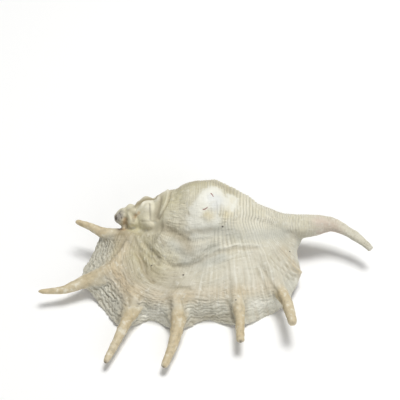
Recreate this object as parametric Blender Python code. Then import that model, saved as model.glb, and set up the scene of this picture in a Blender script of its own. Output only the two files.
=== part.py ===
"""A spider conch shell lying on its mouth, as one solid, because the shell grew in one piece.

Lengths are in millimetres up to the last step, which turns them into metres. X runs along the
coiling axis from the spire to the siphonal canal, the lip with its fingers spreads towards -Y and
Z is up. The origin lies on the surface that the shell rests on, under the coiling axis, in the
middle of the flat that wear has left on the belly of the last whorl.
"""

from typing import NamedTuple

import bmesh
import bpy
import numpy as np

MM = 0.001

# Angles round the coiling axis start at the belly and pass the back, the top and the front.
TOP = 180.0

# The last whorl widens by this factor in one turn, the canal hardly at all.
WHORL_GROWTH = 1.6
CANAL_GROWTH = 1.12

# Angles at which a growth ray is held on its circle before it runs out over the lip.
CIRCLE_ANGLES = (0, 35, 70, 105, 140, 175, 205, 228)
# On the canal, the ray stays on the circle to the edge of the slit.
CANAL_LIP_ANGLES = (246, 262, 276, 290)

# Wall thickness at the slit's roof, over the lip and at its edge, and how far the edge bulges.
ROOF_WALL = 5.0
LIP_WALL = 7.0
EDGE_WALL = 4.6
EDGE_BULGE = 1.6
# The roof's wall turns into the lip's, and then into the edge's, between these rows of the net.
# Row 8 is a lip's first point of its own, and row 11 its last.
LIP_WALL_ROWS = (6, 9)
EDGE_WALL_ROWS = (9.8, 11)
# Where the whorl is narrower than this, its wall thins with it, down to a share.
SLENDER_WIDTH = 30.0
THINNEST_SHARE = 0.3
# The mouth's hollow ends at this angle.
HOLLOW_END = 166.0
# The pillar that the mouth winds round, and the canal's groove that its foot runs out into.
PILLAR_ANGLES = (180, 205, 230, 255, 280, 305, 330)
GROOVE_ANGLES = (140, 110, 80, 50, 25, 0, -18)
GROOVE_SHARE = 0.56
GROOVE_OPENS = (48, 84)
# The belly's callus comes down to the surface between these places on X.
CALLUS_FROM, CALLUS_TO = -16.0, 14.0
CALLUS_FADE = 24.0
CALLUS_LEVEL = -0.7

# Points along the axis, round the outside and round the hollow of the whorl's loft.
COLUMNS = 130
ROWS = 90
HOLLOW_ROWS = 30

# The skin that closes every part into one, and the share of its triangles that stay.
SKIN_VOXEL = 1.4
SKIN_SMOOTHING = 4
SMOOTHING_FACTOR = 0.5
TRIANGLES_KEPT = 0.094
# The block that wears the belly flat.
FLAT_SIZE = 400.0


class Ray(NamedTuple):
    """A growth ray: the circle it follows over the whorl, and the points where it crosses the lip."""

    along: float
    centre: tuple
    radius: float
    lip: tuple = ()


# Each lip has four points: the crease below the hump, the swell, the shoulder and the edge.
LIP_RAYS = (
    Ray(-47, (1, 31), 14.5, ((-45, -10, 39), (-55, -8, 34), (-64, -6.5, 30), (-69, -6, 28.5))),
    Ray(-42.5, (1, 31), 17.8, ((-44, -18, 38), (-57, -19, 32), (-72, -17, 29), (-86, -12, 26))),
    Ray(-38.5, (1, 31), 21.4, ((-44, -27, 35), (-60, -29, 30), (-77, -30, 24), (-97.3, -28, 11))),
    Ray(-35, (1, 31), 24.1, ((-44, -33, 33.5), (-60, -37, 29), (-78, -39, 24), (-102.3, -37.5, 10))),
    Ray(-31.5, (1, 31), 26.2, ((-44, -40, 32), (-58, -45, 28), (-78, -48, 24), (-99, -53, 11))),
    Ray(-27, (0, 31), 28.2, ((-39, -49, 31), (-54, -58, 27), (-69, -62, 21), (-84, -70.5, 1.5))),
    Ray(-20, (0, 30), 31.8, ((-31, -53, 31), (-45, -65, 26), (-58, -74, 22), (-66, -91, 4.5))),
    Ray(-11, (0, 30), 34.5, ((-20, -54, 31), (-31, -69, 26), (-41, -79, 19), (-43, -83, 0.2))),
    Ray(-2, (0, 30), 36.2, ((-7, -52, 32), (-15, -69, 27), (-21, -79, 22), (-22, -94, 4.5))),
    Ray(8, (0, 30), 36.9, ((6, -44, 36), (4, -66, 28), (2, -79, 19), (2, -83, 0.2))),
    Ray(20, (0, 30), 31.5, ((24, -36, 37), (26, -58, 29), (27, -75, 22), (28, -90, 5))),
    Ray(33, (0, 30), 24.6, ((38, -33, 36), (44, -55, 28), (47, -72, 19), (52, -78.3, 0.2))),
    Ray(45, (-1, 29), 17.3, ((50, -30, 34), (56, -48, 29), (61, -65, 22), (67, -71, 8))),
    Ray(55, (-2, 27.5), 14.3, ((58, -28, 32), (66, -38, 28), (74, -44, 22), (81, -44, 11))),
    Ray(63, (-3, 26.5), 12.8, ((65, -21, 31), (71, -24, 27), (76, -25, 23), (80, -24, 16))),
    Ray(72, (-4, 26), 12.0, ((72, -15, 32), (76, -16, 28), (80, -15, 24), (84, -13, 19))),
)
CANAL_RAYS = (
    Ray(84, (-4.5, 27), 10.8),
    Ray(94, (-4.6, 28.5), 9.6),
    Ray(102, (-4.4, 29.2), 7.9),
    Ray(110, (-4.8, 29.5), 5.9),
    Ray(119, (-8.0, 27.7), 4.7),
    Ray(128, (-13.3, 25.0), 4.2),
    Ray(136, (-19.2, 22.7), 3.6),
    Ray(141.5, (-25.2, 20.9), 2.7),
)


class Fold(NamedTuple):
    """A ridge, or a crease where the height is negative, that follows points on the outside."""

    points: tuple
    width: float
    height: float


FOLDS = (
    # The worn hump, and the back's second swell.
    Fold(((-1, -12, 67), (12, -13, 66)), 13, 4.8),
    Fold(((-14, 4, 62), (2, 6, 65)), 14, 1.4),
    # The valley below the hump.
    Fold(((-26, -28, 47), (-14, -34, 47), (0, -34, 51), (12, -32, 52)), 6, -2.6),
    Fold(((-40, -20, 42), (-30, -26, 46), (-22, -32, 45)), 5, -1.4),
    # Old lips: two creases with a swell between, and the ledge on the right.
    Fold(((-54, -16, 33), (-45, -40, 32), (-24, -53, 31), (-7, -51, 33), (9, -40, 39)), 4, -1.5),
    Fold(((-58, -23, 31), (-48, -52, 27), (-23, -69, 26), (9, -68, 26)), 3.5, -1.0),
    Fold(((12, -45, 36), (34, -38, 36), (58, -33, 31)), 6, 1.4),
    # The ridges that lead to the fingers.
    Fold(((-56, -21, 32), (-70, -18, 29), (-84, -13, 27)), 5, 1.6),
    Fold(((-60, -45, 28), (-76, -48, 24), (-96, -54, 14)), 6, 1.8),
    Fold(((-48, -62, 27), (-58, -72, 23), (-64, -86, 10)), 6, 2.2),
    Fold(((-17, -68, 28), (-22, -78, 23), (-22, -90, 9)), 6, 2.4),
    Fold(((25, -62, 28), (27, -74, 23), (29, -87, 9)), 5, 1.8),
    Fold(((50, -42, 32), (57, -56, 27), (65, -70, 14)), 5, 2.2),
    Fold(((58, -31, 32), (70, -42, 26), (80, -45, 14)), 4, 1.6),
    # The folds of the lip's edge between fingers.
    Fold(((-70, -56, 26), (-86, -64, 14)), 6, -1.5),
    Fold(((-48, -76, 23), (-52, -84, 12)), 5, -1.6),
    Fold(((-8, -78, 23), (-8, -88, 10)), 6, -1.2),
    Fold(((14, -76, 24), (15, -87, 10)), 6, -1.2),
)

# The spire, turn by turn: where the keel stands on X, and how far it is from the axis.
SPIRE_TURNS = ((-75.5, 3.4), (-71.5, 7.2), (-63.8, 11.0), (-50.5, 17.0), (-34.0, 23.8))
SPIRE_START_ANGLE = 130.0
SPIRE_END_TURN = 3.97
SPIRE_CENTRE = (1.5, 32.0)
# A whorl's outline for a keel at radius one: distance from the axis, and forward of the keel.
WHORL_OUTLINE = (
    (0.08, -0.62),
    (0.62, -0.5),
    (0.78, -0.36),
    (0.93, -0.18),
    (1.0, 0.0),
    (1.0, 0.17),
    (0.96, 0.35),
    (0.85, 0.53),
    (0.08, 0.53),
)
OUTLINE_POINTS = 26
SPIRE_STEP = 9.0
KEEL_SPREAD = 0.28
KNOBS_PER_TURN = 7
KNOB_PHASE = 60.0
KNOB_HEIGHT = 0.09


class Finger(NamedTuple):
    """A finger of the lip: points down its middle, and its thickness at each."""

    points: tuple
    radii: tuple


FINGERS = {
    "first": Finger(
        ((-62, -16, 28), (-74, -14, 27), (-86, -12, 28), (-97, -7.5, 30.5), (-110, -3, 32.5)),
        (4.0, 5.4, 4.8, 3.3, 2.2),
    ),
    "second": Finger(
        ((-66, -46, 24), (-81, -49, 20), (-98, -54, 15), (-116, -62, 14), (-136, -65, 16)),
        (4.0, 6.2, 5.6, 3.4, 1.6),
    ),
    "third": Finger(
        ((-51, -67, 22), (-57, -76, 18), (-61.5, -90, 12), (-68.5, -107, 9.5), (-76.3, -128, 9)),
        (4.5, 5.8, 4.9, 3.6, 2.2),
    ),
    "fourth": Finger(
        ((-19, -71, 23), (-21, -82, 18), (-21.5, -97, 12), (-25, -113, 9.5), (-31.5, -131.8, 9)),
        (4.5, 6.6, 5.6, 3.9, 2.7),
    ),
    "fifth": Finger(
        ((26, -66, 23), (27, -77, 19.5), (28.2, -90, 16), (28.0, -102, 15), (28.0, -113.4, 16)),
        (4.0, 5.6, 4.2, 3.6, 3.0),
    ),
    "sixth": Finger(
        ((56, -54, 25), (60, -65, 23), (65, -78, 22), (67.5, -91, 23), (68.6, -103.4, 25.5)),
        (4.0, 6.0, 5.0, 4.2, 3.2),
    ),
    "nub": Finger(
        ((66, -41.5, 22), (70, -43, 20.5), (74, -44.5, 19), (78, -45.5, 17), (81.5, -46, 15.5)),
        (4.0, 4.4, 3.8, 2.8, 1.4),
    ),
}
FINGER_SIDES = 14
FINGER_RINGS = 22
# A finger's last ring stands out from the one before, and is drawn in, by this share of it.
TIP_SHARE = 0.6


def clear_scene():
    """Remove whatever the opened file holds."""
    for thing in list(bpy.data.objects):
        bpy.data.objects.remove(thing)


def through(points, places):
    """Values on a smooth curve through points, at places counted in points from the first."""
    points = np.asarray(points, float)
    before = 2 * points[:1] - points[1:2]
    after = 2 * points[-1:] - points[-2:-1]
    held = np.concatenate([before, points, after])
    start = np.clip(np.floor(places).astype(int), 0, len(points) - 2)
    share = (places - start).reshape((-1,) + (1,) * (points.ndim - 1))
    a, b, c, d = (held[start + k] for k in range(4))
    slope = c - a
    bend = 2 * a - 5 * b + 4 * c - d
    twist = 3 * (b - c) + d - a
    return b + 0.5 * share * (slope + share * (bend + share * twist))


def unit(vectors):
    """The vectors at length one."""
    return vectors / np.linalg.norm(vectors, axis=-1, keepdims=True)


def smooth_step(values, low, high):
    """0 below low, 1 above high and a soft rise between."""
    share = np.clip((values - low) / (high - low), 0, 1)
    return share * share * (3 - 2 * share)


def on_circle(centre, radii, angles):
    """Offsets in Y and Z of points at these angles round a centre."""
    turn = np.radians(angles)
    return centre[0] + radii * np.sin(turn), centre[1] - radii * np.cos(turn)


def ray_frames(rays):
    """The middle of each ray's circle, and the directions to its back and to its top."""
    middles = np.array([(ray.along, *ray.centre) for ray in rays], float)
    forward = unit(np.gradient(middles, axis=0))
    back = unit(np.cross((0, 0, 1), forward))
    top = np.cross(forward, back)
    return middles, back, top


def circle_points(frame, radii, angles):
    """Points at these angles round the middle of a ray's circle."""
    middle, back, top = frame
    across, up = on_circle((0, 0), np.asarray(radii, float), np.asarray(angles, float))
    return middle + across[:, None] * back + up[:, None] * top


def spiral_radii(radius, growth, angles):
    """The whorl's radius at these angles, where radius is the one at the top."""
    return radius * growth ** ((np.asarray(angles, float) - TOP) / 360)


def callus(points):
    """The belly's points, let down to the level of the worn callus where it covers them."""
    ends = smooth_step(points[:, 0], CALLUS_FROM - CALLUS_FADE, CALLUS_FROM)
    ends *= 1 - smooth_step(points[:, 0], CALLUS_TO, CALLUS_TO + CALLUS_FADE)
    filled = points.copy()
    filled[:, 2] += ends * np.minimum(CALLUS_LEVEL - points[:, 2], 0)
    return filled


def control_net():
    """Points that the outer surface passes through, by ray and then by angle or lip row."""
    rays = LIP_RAYS + CANAL_RAYS
    frames = list(zip(*ray_frames(rays)))
    net = []
    for ray, frame in zip(rays, frames):
        growth = WHORL_GROWTH if ray.lip else CANAL_GROWTH
        angles = CIRCLE_ANGLES if ray.lip else CIRCLE_ANGLES + CANAL_LIP_ANGLES
        wrapped = circle_points(frame, spiral_radii(ray.radius, growth, angles), angles)
        wrapped[:1] = callus(wrapped[:1])
        net.append(np.concatenate([wrapped, np.array(ray.lip, float).reshape(-1, 3)]))
    return np.array(net)


def hollow_net():
    """Points on the pillar inside the mouth, and on the far wall of the canal's groove."""
    rays = LIP_RAYS + CANAL_RAYS
    frames = list(zip(*ray_frames(rays)))
    pillar_angles = np.array(PILLAR_ANGLES, float)
    groove_angles = np.array(GROOVE_ANGLES, float)
    net = []
    for ray, frame in zip(rays, frames):
        share = smooth_step(ray.along, *GROOVE_OPENS)
        pillar = spiral_radii(ray.radius, WHORL_GROWTH, pillar_angles - 360)
        groove = spiral_radii(ray.radius, CANAL_GROWTH, groove_angles) * GROOVE_SHARE
        radii = (1 - share) * pillar + share * groove
        angles = (1 - share) * pillar_angles + share * groove_angles
        net.append(circle_points(frame, radii, angles))
    return np.array(net)


def sample(net, columns, rows):
    """A grid of points on the smooth surface through a control net."""
    along = through(net, np.linspace(0, len(net) - 1, columns))
    across = through(along.swapaxes(0, 1), np.linspace(0, net.shape[1] - 1, rows))
    return across.swapaxes(0, 1)


def grid_normals(grid):
    """Outward directions on a grid of points."""
    return unit(np.cross(np.gradient(grid, axis=1), np.gradient(grid, axis=0)))


def distance_to(path, grid):
    """How far each point of a grid is from a path of straight pieces."""
    path = np.array(path, float)
    nearest = np.full(grid.shape[:-1], np.inf)
    for start, end in zip(path, path[1:]):
        piece = end - start
        share = np.clip((grid - start) @ piece / (piece @ piece), 0, 1)
        foot = start + share[..., None] * piece
        nearest = np.minimum(nearest, np.linalg.norm(grid - foot, axis=-1))
    return nearest


def with_folds(grid, normals):
    """The grid with each fold raised along the surface's own direction."""
    raised = grid.copy()
    for fold in FOLDS:
        rise = fold.height * np.exp(-((distance_to(fold.points, grid) / fold.width) ** 2))
        raised += normals * rise[..., None]
    return raised


def slenderness(smooth):
    """1 where the whorl is wide, and less where it runs out into the slim canal."""
    width = np.linalg.norm(smooth[:, 0] - smooth[:, smooth.shape[1] // 2], axis=-1)
    return np.minimum(1, width / SLENDER_WIDTH)


def walls(place, smooth):
    """The wall's thickness at each point of the outer surface, for each row's place in the net."""
    lip_share = smooth_step(place, *LIP_WALL_ROWS)
    edge_share = smooth_step(place, *EDGE_WALL_ROWS)
    wall = ROOF_WALL + (LIP_WALL - ROOF_WALL) * lip_share + (EDGE_WALL - LIP_WALL) * edge_share
    return wall[None, :] * (THINNEST_SHARE + (1 - THINNEST_SHARE) * slenderness(smooth)[:, None])


def whorl_and_lip():
    """The last whorl, the spread lip and the canal, as rings of points round the shell's wall."""
    smooth = sample(control_net(), COLUMNS, ROWS)
    normals = grid_normals(smooth)
    place = np.linspace(0, len(CIRCLE_ANGLES) + len(CANAL_LIP_ANGLES) - 1, ROWS)
    angle = np.interp(place, range(len(CIRCLE_ANGLES)), CIRCLE_ANGLES)
    hollow = angle >= HOLLOW_END
    outside = with_folds(smooth, normals)
    inside = (outside - normals * walls(place, smooth)[..., None])[:, hollow][:, ::-1]
    edge = (outside[:, -1:] + inside[:, :1]) / 2
    outward = unit(smooth[:, -1:] - smooth[:, -3:-2])
    edge = edge + outward * EDGE_BULGE * slenderness(smooth)[:, None, None]
    hollow_wall = sample(hollow_net(), COLUMNS, HOLLOW_ROWS)
    return np.concatenate([outside, edge, inside, hollow_wall], axis=1)


def spire():
    """The whorls of the spire, as an outline carried round the axis while it grows."""
    outline = np.array(WHORL_OUTLINE, float)
    outline = through(outline, np.linspace(0, len(outline) - 1, OUTLINE_POINTS))
    keel = np.exp(-((outline[:, 1] / KEEL_SPREAD) ** 2))
    turned = np.arange(0, SPIRE_END_TURN * 360, SPIRE_STEP)
    rings = []
    for degrees, (along, radius) in zip(turned, through(SPIRE_TURNS, turned / 360)):
        swing = np.cos(np.radians((degrees - KNOB_PHASE) * KNOBS_PER_TURN))
        radii = outline[:, 0] * radius * (1 + KNOB_HEIGHT * keel * swing)
        across, up = on_circle(SPIRE_CENTRE, radii, SPIRE_START_ANGLE + degrees)
        rings.append(np.stack([along + outline[:, 1] * radius, across, up], axis=-1))
    return np.array(rings)


def finger(shape):
    """A tapering tube down the middle of a finger, with a blunt round tip."""
    places = np.linspace(0, len(shape.points) - 1, FINGER_RINGS)
    middles = through(shape.points, places)
    radii = through(np.array(shape.radii, float)[:, None], places)
    forward = unit(np.gradient(middles, axis=0))
    side = unit(np.cross((0, 0, 1), forward))
    up = np.cross(forward, side)
    turn = np.linspace(0, 2 * np.pi, FINGER_SIDES, endpoint=False)[None, :, None]
    ring = np.sin(turn) * side[:, None] + np.cos(turn) * up[:, None]
    tube = middles[:, None] + radii[:, None] * ring
    tip = middles[-1] + (forward[-1] + ring[-1]) * radii[-1] * TIP_SHARE
    return np.concatenate([tube, tip[None]])


def add_rings(build, rings):
    """Add a closed skin over rings of points, with a face over each end ring."""
    vertices = [[build.verts.new(point * MM) for point in ring] for ring in rings]
    for near, far in zip(vertices, vertices[1:]):
        for k in range(len(near)):
            build.faces.new((near[k - 1], near[k], far[k], far[k - 1]))
    build.faces.new(vertices[0][::-1])
    build.faces.new(vertices[-1])


def shell_material():
    """The chalky cream of a dry shell."""
    material = bpy.data.materials.new("chalky_cream")
    material.use_nodes = True
    shader = material.node_tree.nodes["Principled BSDF"]
    shader.inputs["Base Color"].default_value = (0.74, 0.70, 0.58, 1)
    shader.inputs["Roughness"].default_value = 0.5
    shader.inputs["Metallic"].default_value = 0.0
    return material


def worn_flat():
    """The block below the surface, which takes off what wear has ground flat."""
    size = FLAT_SIZE * MM
    mesh = bpy.data.meshes.new("worn_flat")
    build = bmesh.new()
    bmesh.ops.create_cube(build, size=size)
    bmesh.ops.translate(build, verts=build.verts, vec=(0, 0, -size / 2))
    build.to_mesh(mesh)
    build.free()
    block = bpy.data.objects.new("worn_flat", mesh)
    bpy.context.scene.collection.objects.link(block)
    block.hide_render = True
    block.display_type = "WIRE"
    return block


def shell():
    """The whole shell: every part in one mesh, closed into one skin and worn flat below."""
    build = bmesh.new()
    add_rings(build, whorl_and_lip())
    add_rings(build, spire())
    for shape in FINGERS.values():
        add_rings(build, finger(shape))
    bmesh.ops.triangulate(build, faces=[face for face in build.faces if len(face.verts) > 4])
    bmesh.ops.recalc_face_normals(build, faces=build.faces)
    mesh = bpy.data.meshes.new("shell")
    build.to_mesh(mesh)
    build.free()
    mesh.materials.append(shell_material())
    mesh.shade_smooth()
    whole = bpy.data.objects.new("shell", mesh)
    bpy.context.scene.collection.objects.link(whole)

    skin = whole.modifiers.new("one skin", "REMESH")
    skin.mode = "VOXEL"
    skin.voxel_size = SKIN_VOXEL * MM
    skin.use_smooth_shade = True
    soften = whole.modifiers.new("soften the joins", "SMOOTH")
    soften.factor = SMOOTHING_FACTOR
    soften.iterations = SKIN_SMOOTHING
    fewer = whole.modifiers.new("fewer faces", "DECIMATE")
    fewer.ratio = TRIANGLES_KEPT
    wear = whole.modifiers.new("worn flat", "BOOLEAN")
    wear.operation = "DIFFERENCE"
    wear.object = worn_flat()


clear_scene()
shell()
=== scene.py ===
"""The looks of a spider conch shell that lies on its mouth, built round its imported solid.

Tables hold millimetres in the solid's frame: X runs along the coiling axis from the spire to the
siphonal canal, the lip with its fingers spreads towards -Y and Z is up. Meshes are in metres.
"""

import logging
import math
from dataclasses import asdict, dataclass
from enum import Enum
from functools import reduce
from typing import NamedTuple, Optional, Sequence, Union

import bpy
import numpy as np
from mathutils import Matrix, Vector
from mathutils.bvhtree import BVHTree


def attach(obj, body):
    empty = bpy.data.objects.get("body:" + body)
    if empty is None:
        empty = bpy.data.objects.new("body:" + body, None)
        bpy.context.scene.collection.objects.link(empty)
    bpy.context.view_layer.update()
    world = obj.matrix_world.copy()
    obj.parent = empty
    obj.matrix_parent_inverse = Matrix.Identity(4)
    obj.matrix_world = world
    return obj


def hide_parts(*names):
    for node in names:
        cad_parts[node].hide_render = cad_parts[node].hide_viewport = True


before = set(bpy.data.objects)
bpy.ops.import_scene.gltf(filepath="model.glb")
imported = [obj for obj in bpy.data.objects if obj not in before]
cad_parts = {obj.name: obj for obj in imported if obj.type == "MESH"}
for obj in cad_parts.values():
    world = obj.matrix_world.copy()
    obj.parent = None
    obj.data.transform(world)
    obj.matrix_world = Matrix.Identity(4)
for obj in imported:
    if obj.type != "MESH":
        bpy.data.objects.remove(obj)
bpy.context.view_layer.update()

LOG = logging.getLogger("shell")
MM = 0.001
Point = tuple[float, float, float]
Socket = bpy.types.NodeSocket


class Mark(Enum):
    """The values that the skin's points carry for its relief and its finish."""

    RAY = "ray_place"
    ROW = "row_place"
    INSIDE = "inside"
    AWAY = "away_from_whorl"
    CORDS = "cord_strength"
    WRINKLES = "wrinkle_strength"
    LINES = "growth_line_strength"
    SPIRE = "spire"
    WORN = "worn_white"
    PEACH = "peach"
    OLIVE = "olive"
    SLATE = "slate"
    STAIN = "stain"
    PINK = "pink"
    BARE = "bare_core"
    YELLOW = "yellow_stain"
    SHADED = "shaded"
    DIRT = "dirt"
    PITTED = "pitted"
    BRONZE = "bronze"
    ROOT = "finger_root"
    PALE = "pale_margin"
    CREASE = "crease"
    CREST = "crest"
    HEIGHT = "relief_height"
    GROOVE = "groove_depth"
    CORD_WAVE = "cord_wave"
    TUBE_RADIUS = "tube_radius"


LOFT_MARKS = (Mark.RAY, Mark.ROW, Mark.INSIDE, Mark.CORDS, Mark.WRINKLES, Mark.LINES)


def through(points: np.ndarray, places: np.ndarray) -> np.ndarray:
    """Values on a smooth curve through points.

    Args:
        points: The values at places 0, 1, 2 and so on.
        places: Where the curve is read, counted in points from the first.

    Returns:
        One value for each place.
    """
    points = np.asarray(points, float)
    held = np.concatenate([2 * points[:1] - points[1:2], points, 2 * points[-1:] - points[-2:-1]])
    start = np.clip(np.floor(places).astype(int), 0, len(points) - 2)
    share = (places - start).reshape((-1,) + (1,) * (points.ndim - 1))
    a, b, c, d = (held[start + k] for k in range(4))
    bend = 2 * a - 5 * b + 4 * c - d
    return b + 0.5 * share * (c - a + share * (bend + share * (3 * (b - c) + d - a)))


def evenly(points: Sequence, count: int) -> np.ndarray:
    """A number of values on a smooth curve through points, evenly spaced from end to end."""
    return through(points, np.linspace(0, len(points) - 1, count))


def unit(vectors: np.ndarray) -> np.ndarray:
    """The vectors at length one."""
    return vectors / np.linalg.norm(vectors, axis=-1, keepdims=True)


def soft_step(values: np.ndarray, low: float, high: float) -> np.ndarray:
    """A soft rise from 0 at low to 1 at high."""
    share = np.clip((values - low) / (high - low), 0, 1)
    return share * share * (3 - 2 * share)


def distance_to(path: Sequence[Point], places: np.ndarray) -> np.ndarray:
    """How far places are from a path.

    Args:
        path: The ends of the path's straight pieces.
        places: The places, in the path's unit.

    Returns:
        One distance for each place.
    """
    path = np.array(path, float)
    nearest = np.full(places.shape[:-1], np.inf)
    for start, end in zip(path, path[1:]):
        piece = end - start
        share = np.clip((places - start) @ piece / (piece @ piece), 0, 1)
        foot = start + share[..., None] * piece
        nearest = np.minimum(nearest, np.linalg.norm(places - foot, axis=-1))
    return nearest


def near_path(path: Sequence[Point], width: float, places: np.ndarray) -> np.ndarray:
    """1 on a path, fading to nothing at about twice its width."""
    return np.exp(-((distance_to(path, places) / width) ** 2))


class Surface:
    """A mesh whose points are moved and marked along paths that are laid on it."""

    def __init__(self, mesh: bpy.types.Mesh) -> None:
        """Read the mesh's places and the way that each faces."""
        self.mesh = mesh
        self.places = places_of(mesh)
        normals = np.empty(len(self.places) * 3, np.float32)
        mesh.vertices.foreach_get("normal", normals)
        self.normals = normals.reshape(-1, 3).astype(float)
        faces = [tuple(face.vertices) for face in mesh.polygons]
        self.tree = BVHTree.FromPolygons(self.places.tolist(), faces)

    def lay(self, path: Sequence[Point], step: float = 1.5) -> np.ndarray:
        """A smooth curve through a path's points, laid on the surface.

        Args:
            path: Points in millimetres, close to the surface.
            step: How far apart the curve's own points are.

        Returns:
            The curve's points on the surface.
        """
        path = np.array(path, float)
        length = np.linalg.norm(np.diff(path, axis=0), axis=1).sum()
        count = max(3, round(length / step))
        curve = evenly(path, count)
        return np.array([self.tree.find_nearest(Vector(point))[0] for point in curve])

    def near(self, path: Sequence[Point], width: float) -> np.ndarray:
        """Which of the mesh's points are near a path that is laid on it.

        Args:
            path: Points in millimetres, close to the surface.
            width: The path's width in millimetres.

        Returns:
            1 on the path, fading to nothing at about twice its width.
        """
        laid = self.lay(path)
        reach = 3 * width
        low, high = laid.min(0) - reach, laid.max(0) + reach
        close = np.all((self.places > low) & (self.places < high), axis=1)
        cover = np.zeros(len(self.places))
        cover[close] = near_path(laid, width, self.places[close])
        return cover

    def raise_by(self, heights: np.ndarray) -> None:
        """Move each point out by its height in millimetres."""
        self.places += self.normals * heights[:, None]
        set_places(self.mesh, self.places)


Value = Union["Signal", float]


@dataclass(frozen=True)
class Signal:
    """A number in a node tree, which Python's operators work on."""

    graph: "Graph"
    socket: Socket

    def __add__(self, other: Value) -> "Signal":
        """The sum."""
        return self.graph.maths("ADD", self, other)

    __radd__ = __add__

    def __sub__(self, other: Value) -> "Signal":
        """The difference."""
        return self.graph.maths("SUBTRACT", self, other)

    def __rsub__(self, other: Value) -> "Signal":
        """The difference from a plain number."""
        return self.graph.maths("SUBTRACT", other, self)

    def __mul__(self, other: Value) -> "Signal":
        """The product."""
        return self.graph.maths("MULTIPLY", self, other)

    __rmul__ = __mul__

    def __truediv__(self, other: Value) -> "Signal":
        """The quotient."""
        return self.graph.maths("DIVIDE", self, other)

    def __pow__(self, other: Value) -> "Signal":
        """The power."""
        return self.graph.maths("POWER", self, other)

    def sine(self) -> "Signal":
        """The sine, for an angle in radians."""
        return self.graph.maths("SINE", self)

    def size(self) -> "Signal":
        """The value without its sign."""
        return self.graph.maths("ABSOLUTE", self)

    def most(self, other: Value) -> "Signal":
        """The larger of two."""
        return self.graph.maths("MAXIMUM", self, other)

    def least(self, other: Value) -> "Signal":
        """The smaller of two."""
        return self.graph.maths("MINIMUM", self, other)

    def step(self, low: float, high: float) -> "Signal":
        """A soft step.

        Args:
            low: Where the step is 0.
            high: Where it is 1, which may be the smaller of the two.

        Returns:
            0 at low, 1 at high and a soft rise between.
        """
        settings = {"interpolation_type": "SMOOTHSTEP"}
        sockets = {"Value": self, "From Min": low, "From Max": high}
        return self.graph.number(self.graph.add("ShaderNodeMapRange", settings, sockets))


class Graph:
    """A node tree that is written as expressions."""

    def __init__(self, tree: bpy.types.NodeTree) -> None:
        """Take a node tree and empty it."""
        self.tree = tree
        tree.nodes.clear()

    def add(
        self, kind: str, settings: Optional[dict] = None, sockets: Optional[dict] = None
    ) -> bpy.types.Node:
        """Add any node.

        Args:
            kind: The node's type.
            settings: Its own settings, which are set first.
            sockets: Values or links for its inputs, by their names or identifiers.

        Returns:
            The new node.
        """
        node = self.tree.nodes.new(kind)
        for name, value in (settings or {}).items():
            setattr(node, name, value)
        for name, value in (sockets or {}).items():
            socket = next(s for s in node.inputs if name in (s.identifier, s.name))
            if isinstance(value, Signal):
                self.tree.links.new(value.socket, socket)
            elif isinstance(value, Socket):
                self.tree.links.new(value, socket)
            else:
                socket.default_value = value
        return node

    def number(self, node: bpy.types.Node, output: Union[int, str] = 0) -> Signal:
        """One output of a node as a number."""
        return Signal(self, node.outputs[output])

    def maths(self, operation: str, *operands: Value) -> Signal:
        """A Math node on one or two numbers."""
        sockets = dict(zip(("Value", "Value_001"), operands))
        return self.number(self.add("ShaderNodeMath", {"operation": operation}, sockets))

    def scaled(self, vector: Socket, scale: Value) -> Socket:
        """A vector times a number."""
        sockets = {"Vector": vector, "Scale": scale}
        return self.add("ShaderNodeVectorMath", {"operation": "SCALE"}, sockets).outputs["Vector"]

    def measure(self, operation: str, first: object, second: object) -> Signal:
        """A Vector Math node on two vectors that gives a number, such as their distance."""
        sockets = {"Vector": first, "Vector_001": second}
        return self.number(self.add("ShaderNodeVectorMath", {"operation": operation}, sockets), "Value")

    def mix(self, factor: Value, first: object, second: object) -> Socket:
        """A Mix node on two colours.

        Args:
            factor: How much there is of the second colour.
            first: The first colour, as a socket or plain.
            second: The second colour, as a socket or plain.

        Returns:
            The mixed colour.
        """
        sockets = {"Factor_Float": factor, "A_Color": first, "B_Color": second}
        node = self.add("ShaderNodeMix", {"data_type": "RGBA"}, sockets)
        return next(s for s in node.outputs if s.identifier == "Result_Color")

    def noise(self, place: object, scale: Value, detail: float = 2.0, roughness: float = 0.5) -> Signal:
        """Soft noise between 0 and 1, mostly near 0.5."""
        sockets = {"Vector": place, "Scale": scale, "Detail": detail, "Roughness": roughness}
        return self.number(self.add("ShaderNodeTexNoise", None, sockets))

    def join(self, x: Value, y: Value) -> Socket:
        """A vector from two numbers."""
        return self.add("ShaderNodeCombineXYZ", None, {"X": x, "Y": y}).outputs[0]

    def height_of(self, vector: Socket) -> Signal:
        """The Z part of a vector."""
        return self.number(self.add("ShaderNodeSeparateXYZ", None, {"Vector": vector}), "Z")

    def mark(self, mark: Mark) -> Signal:
        """A value that the mesh's points carry."""
        return self.number(self.add("ShaderNodeAttribute", {"attribute_name": mark.value}), "Fac")


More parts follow.
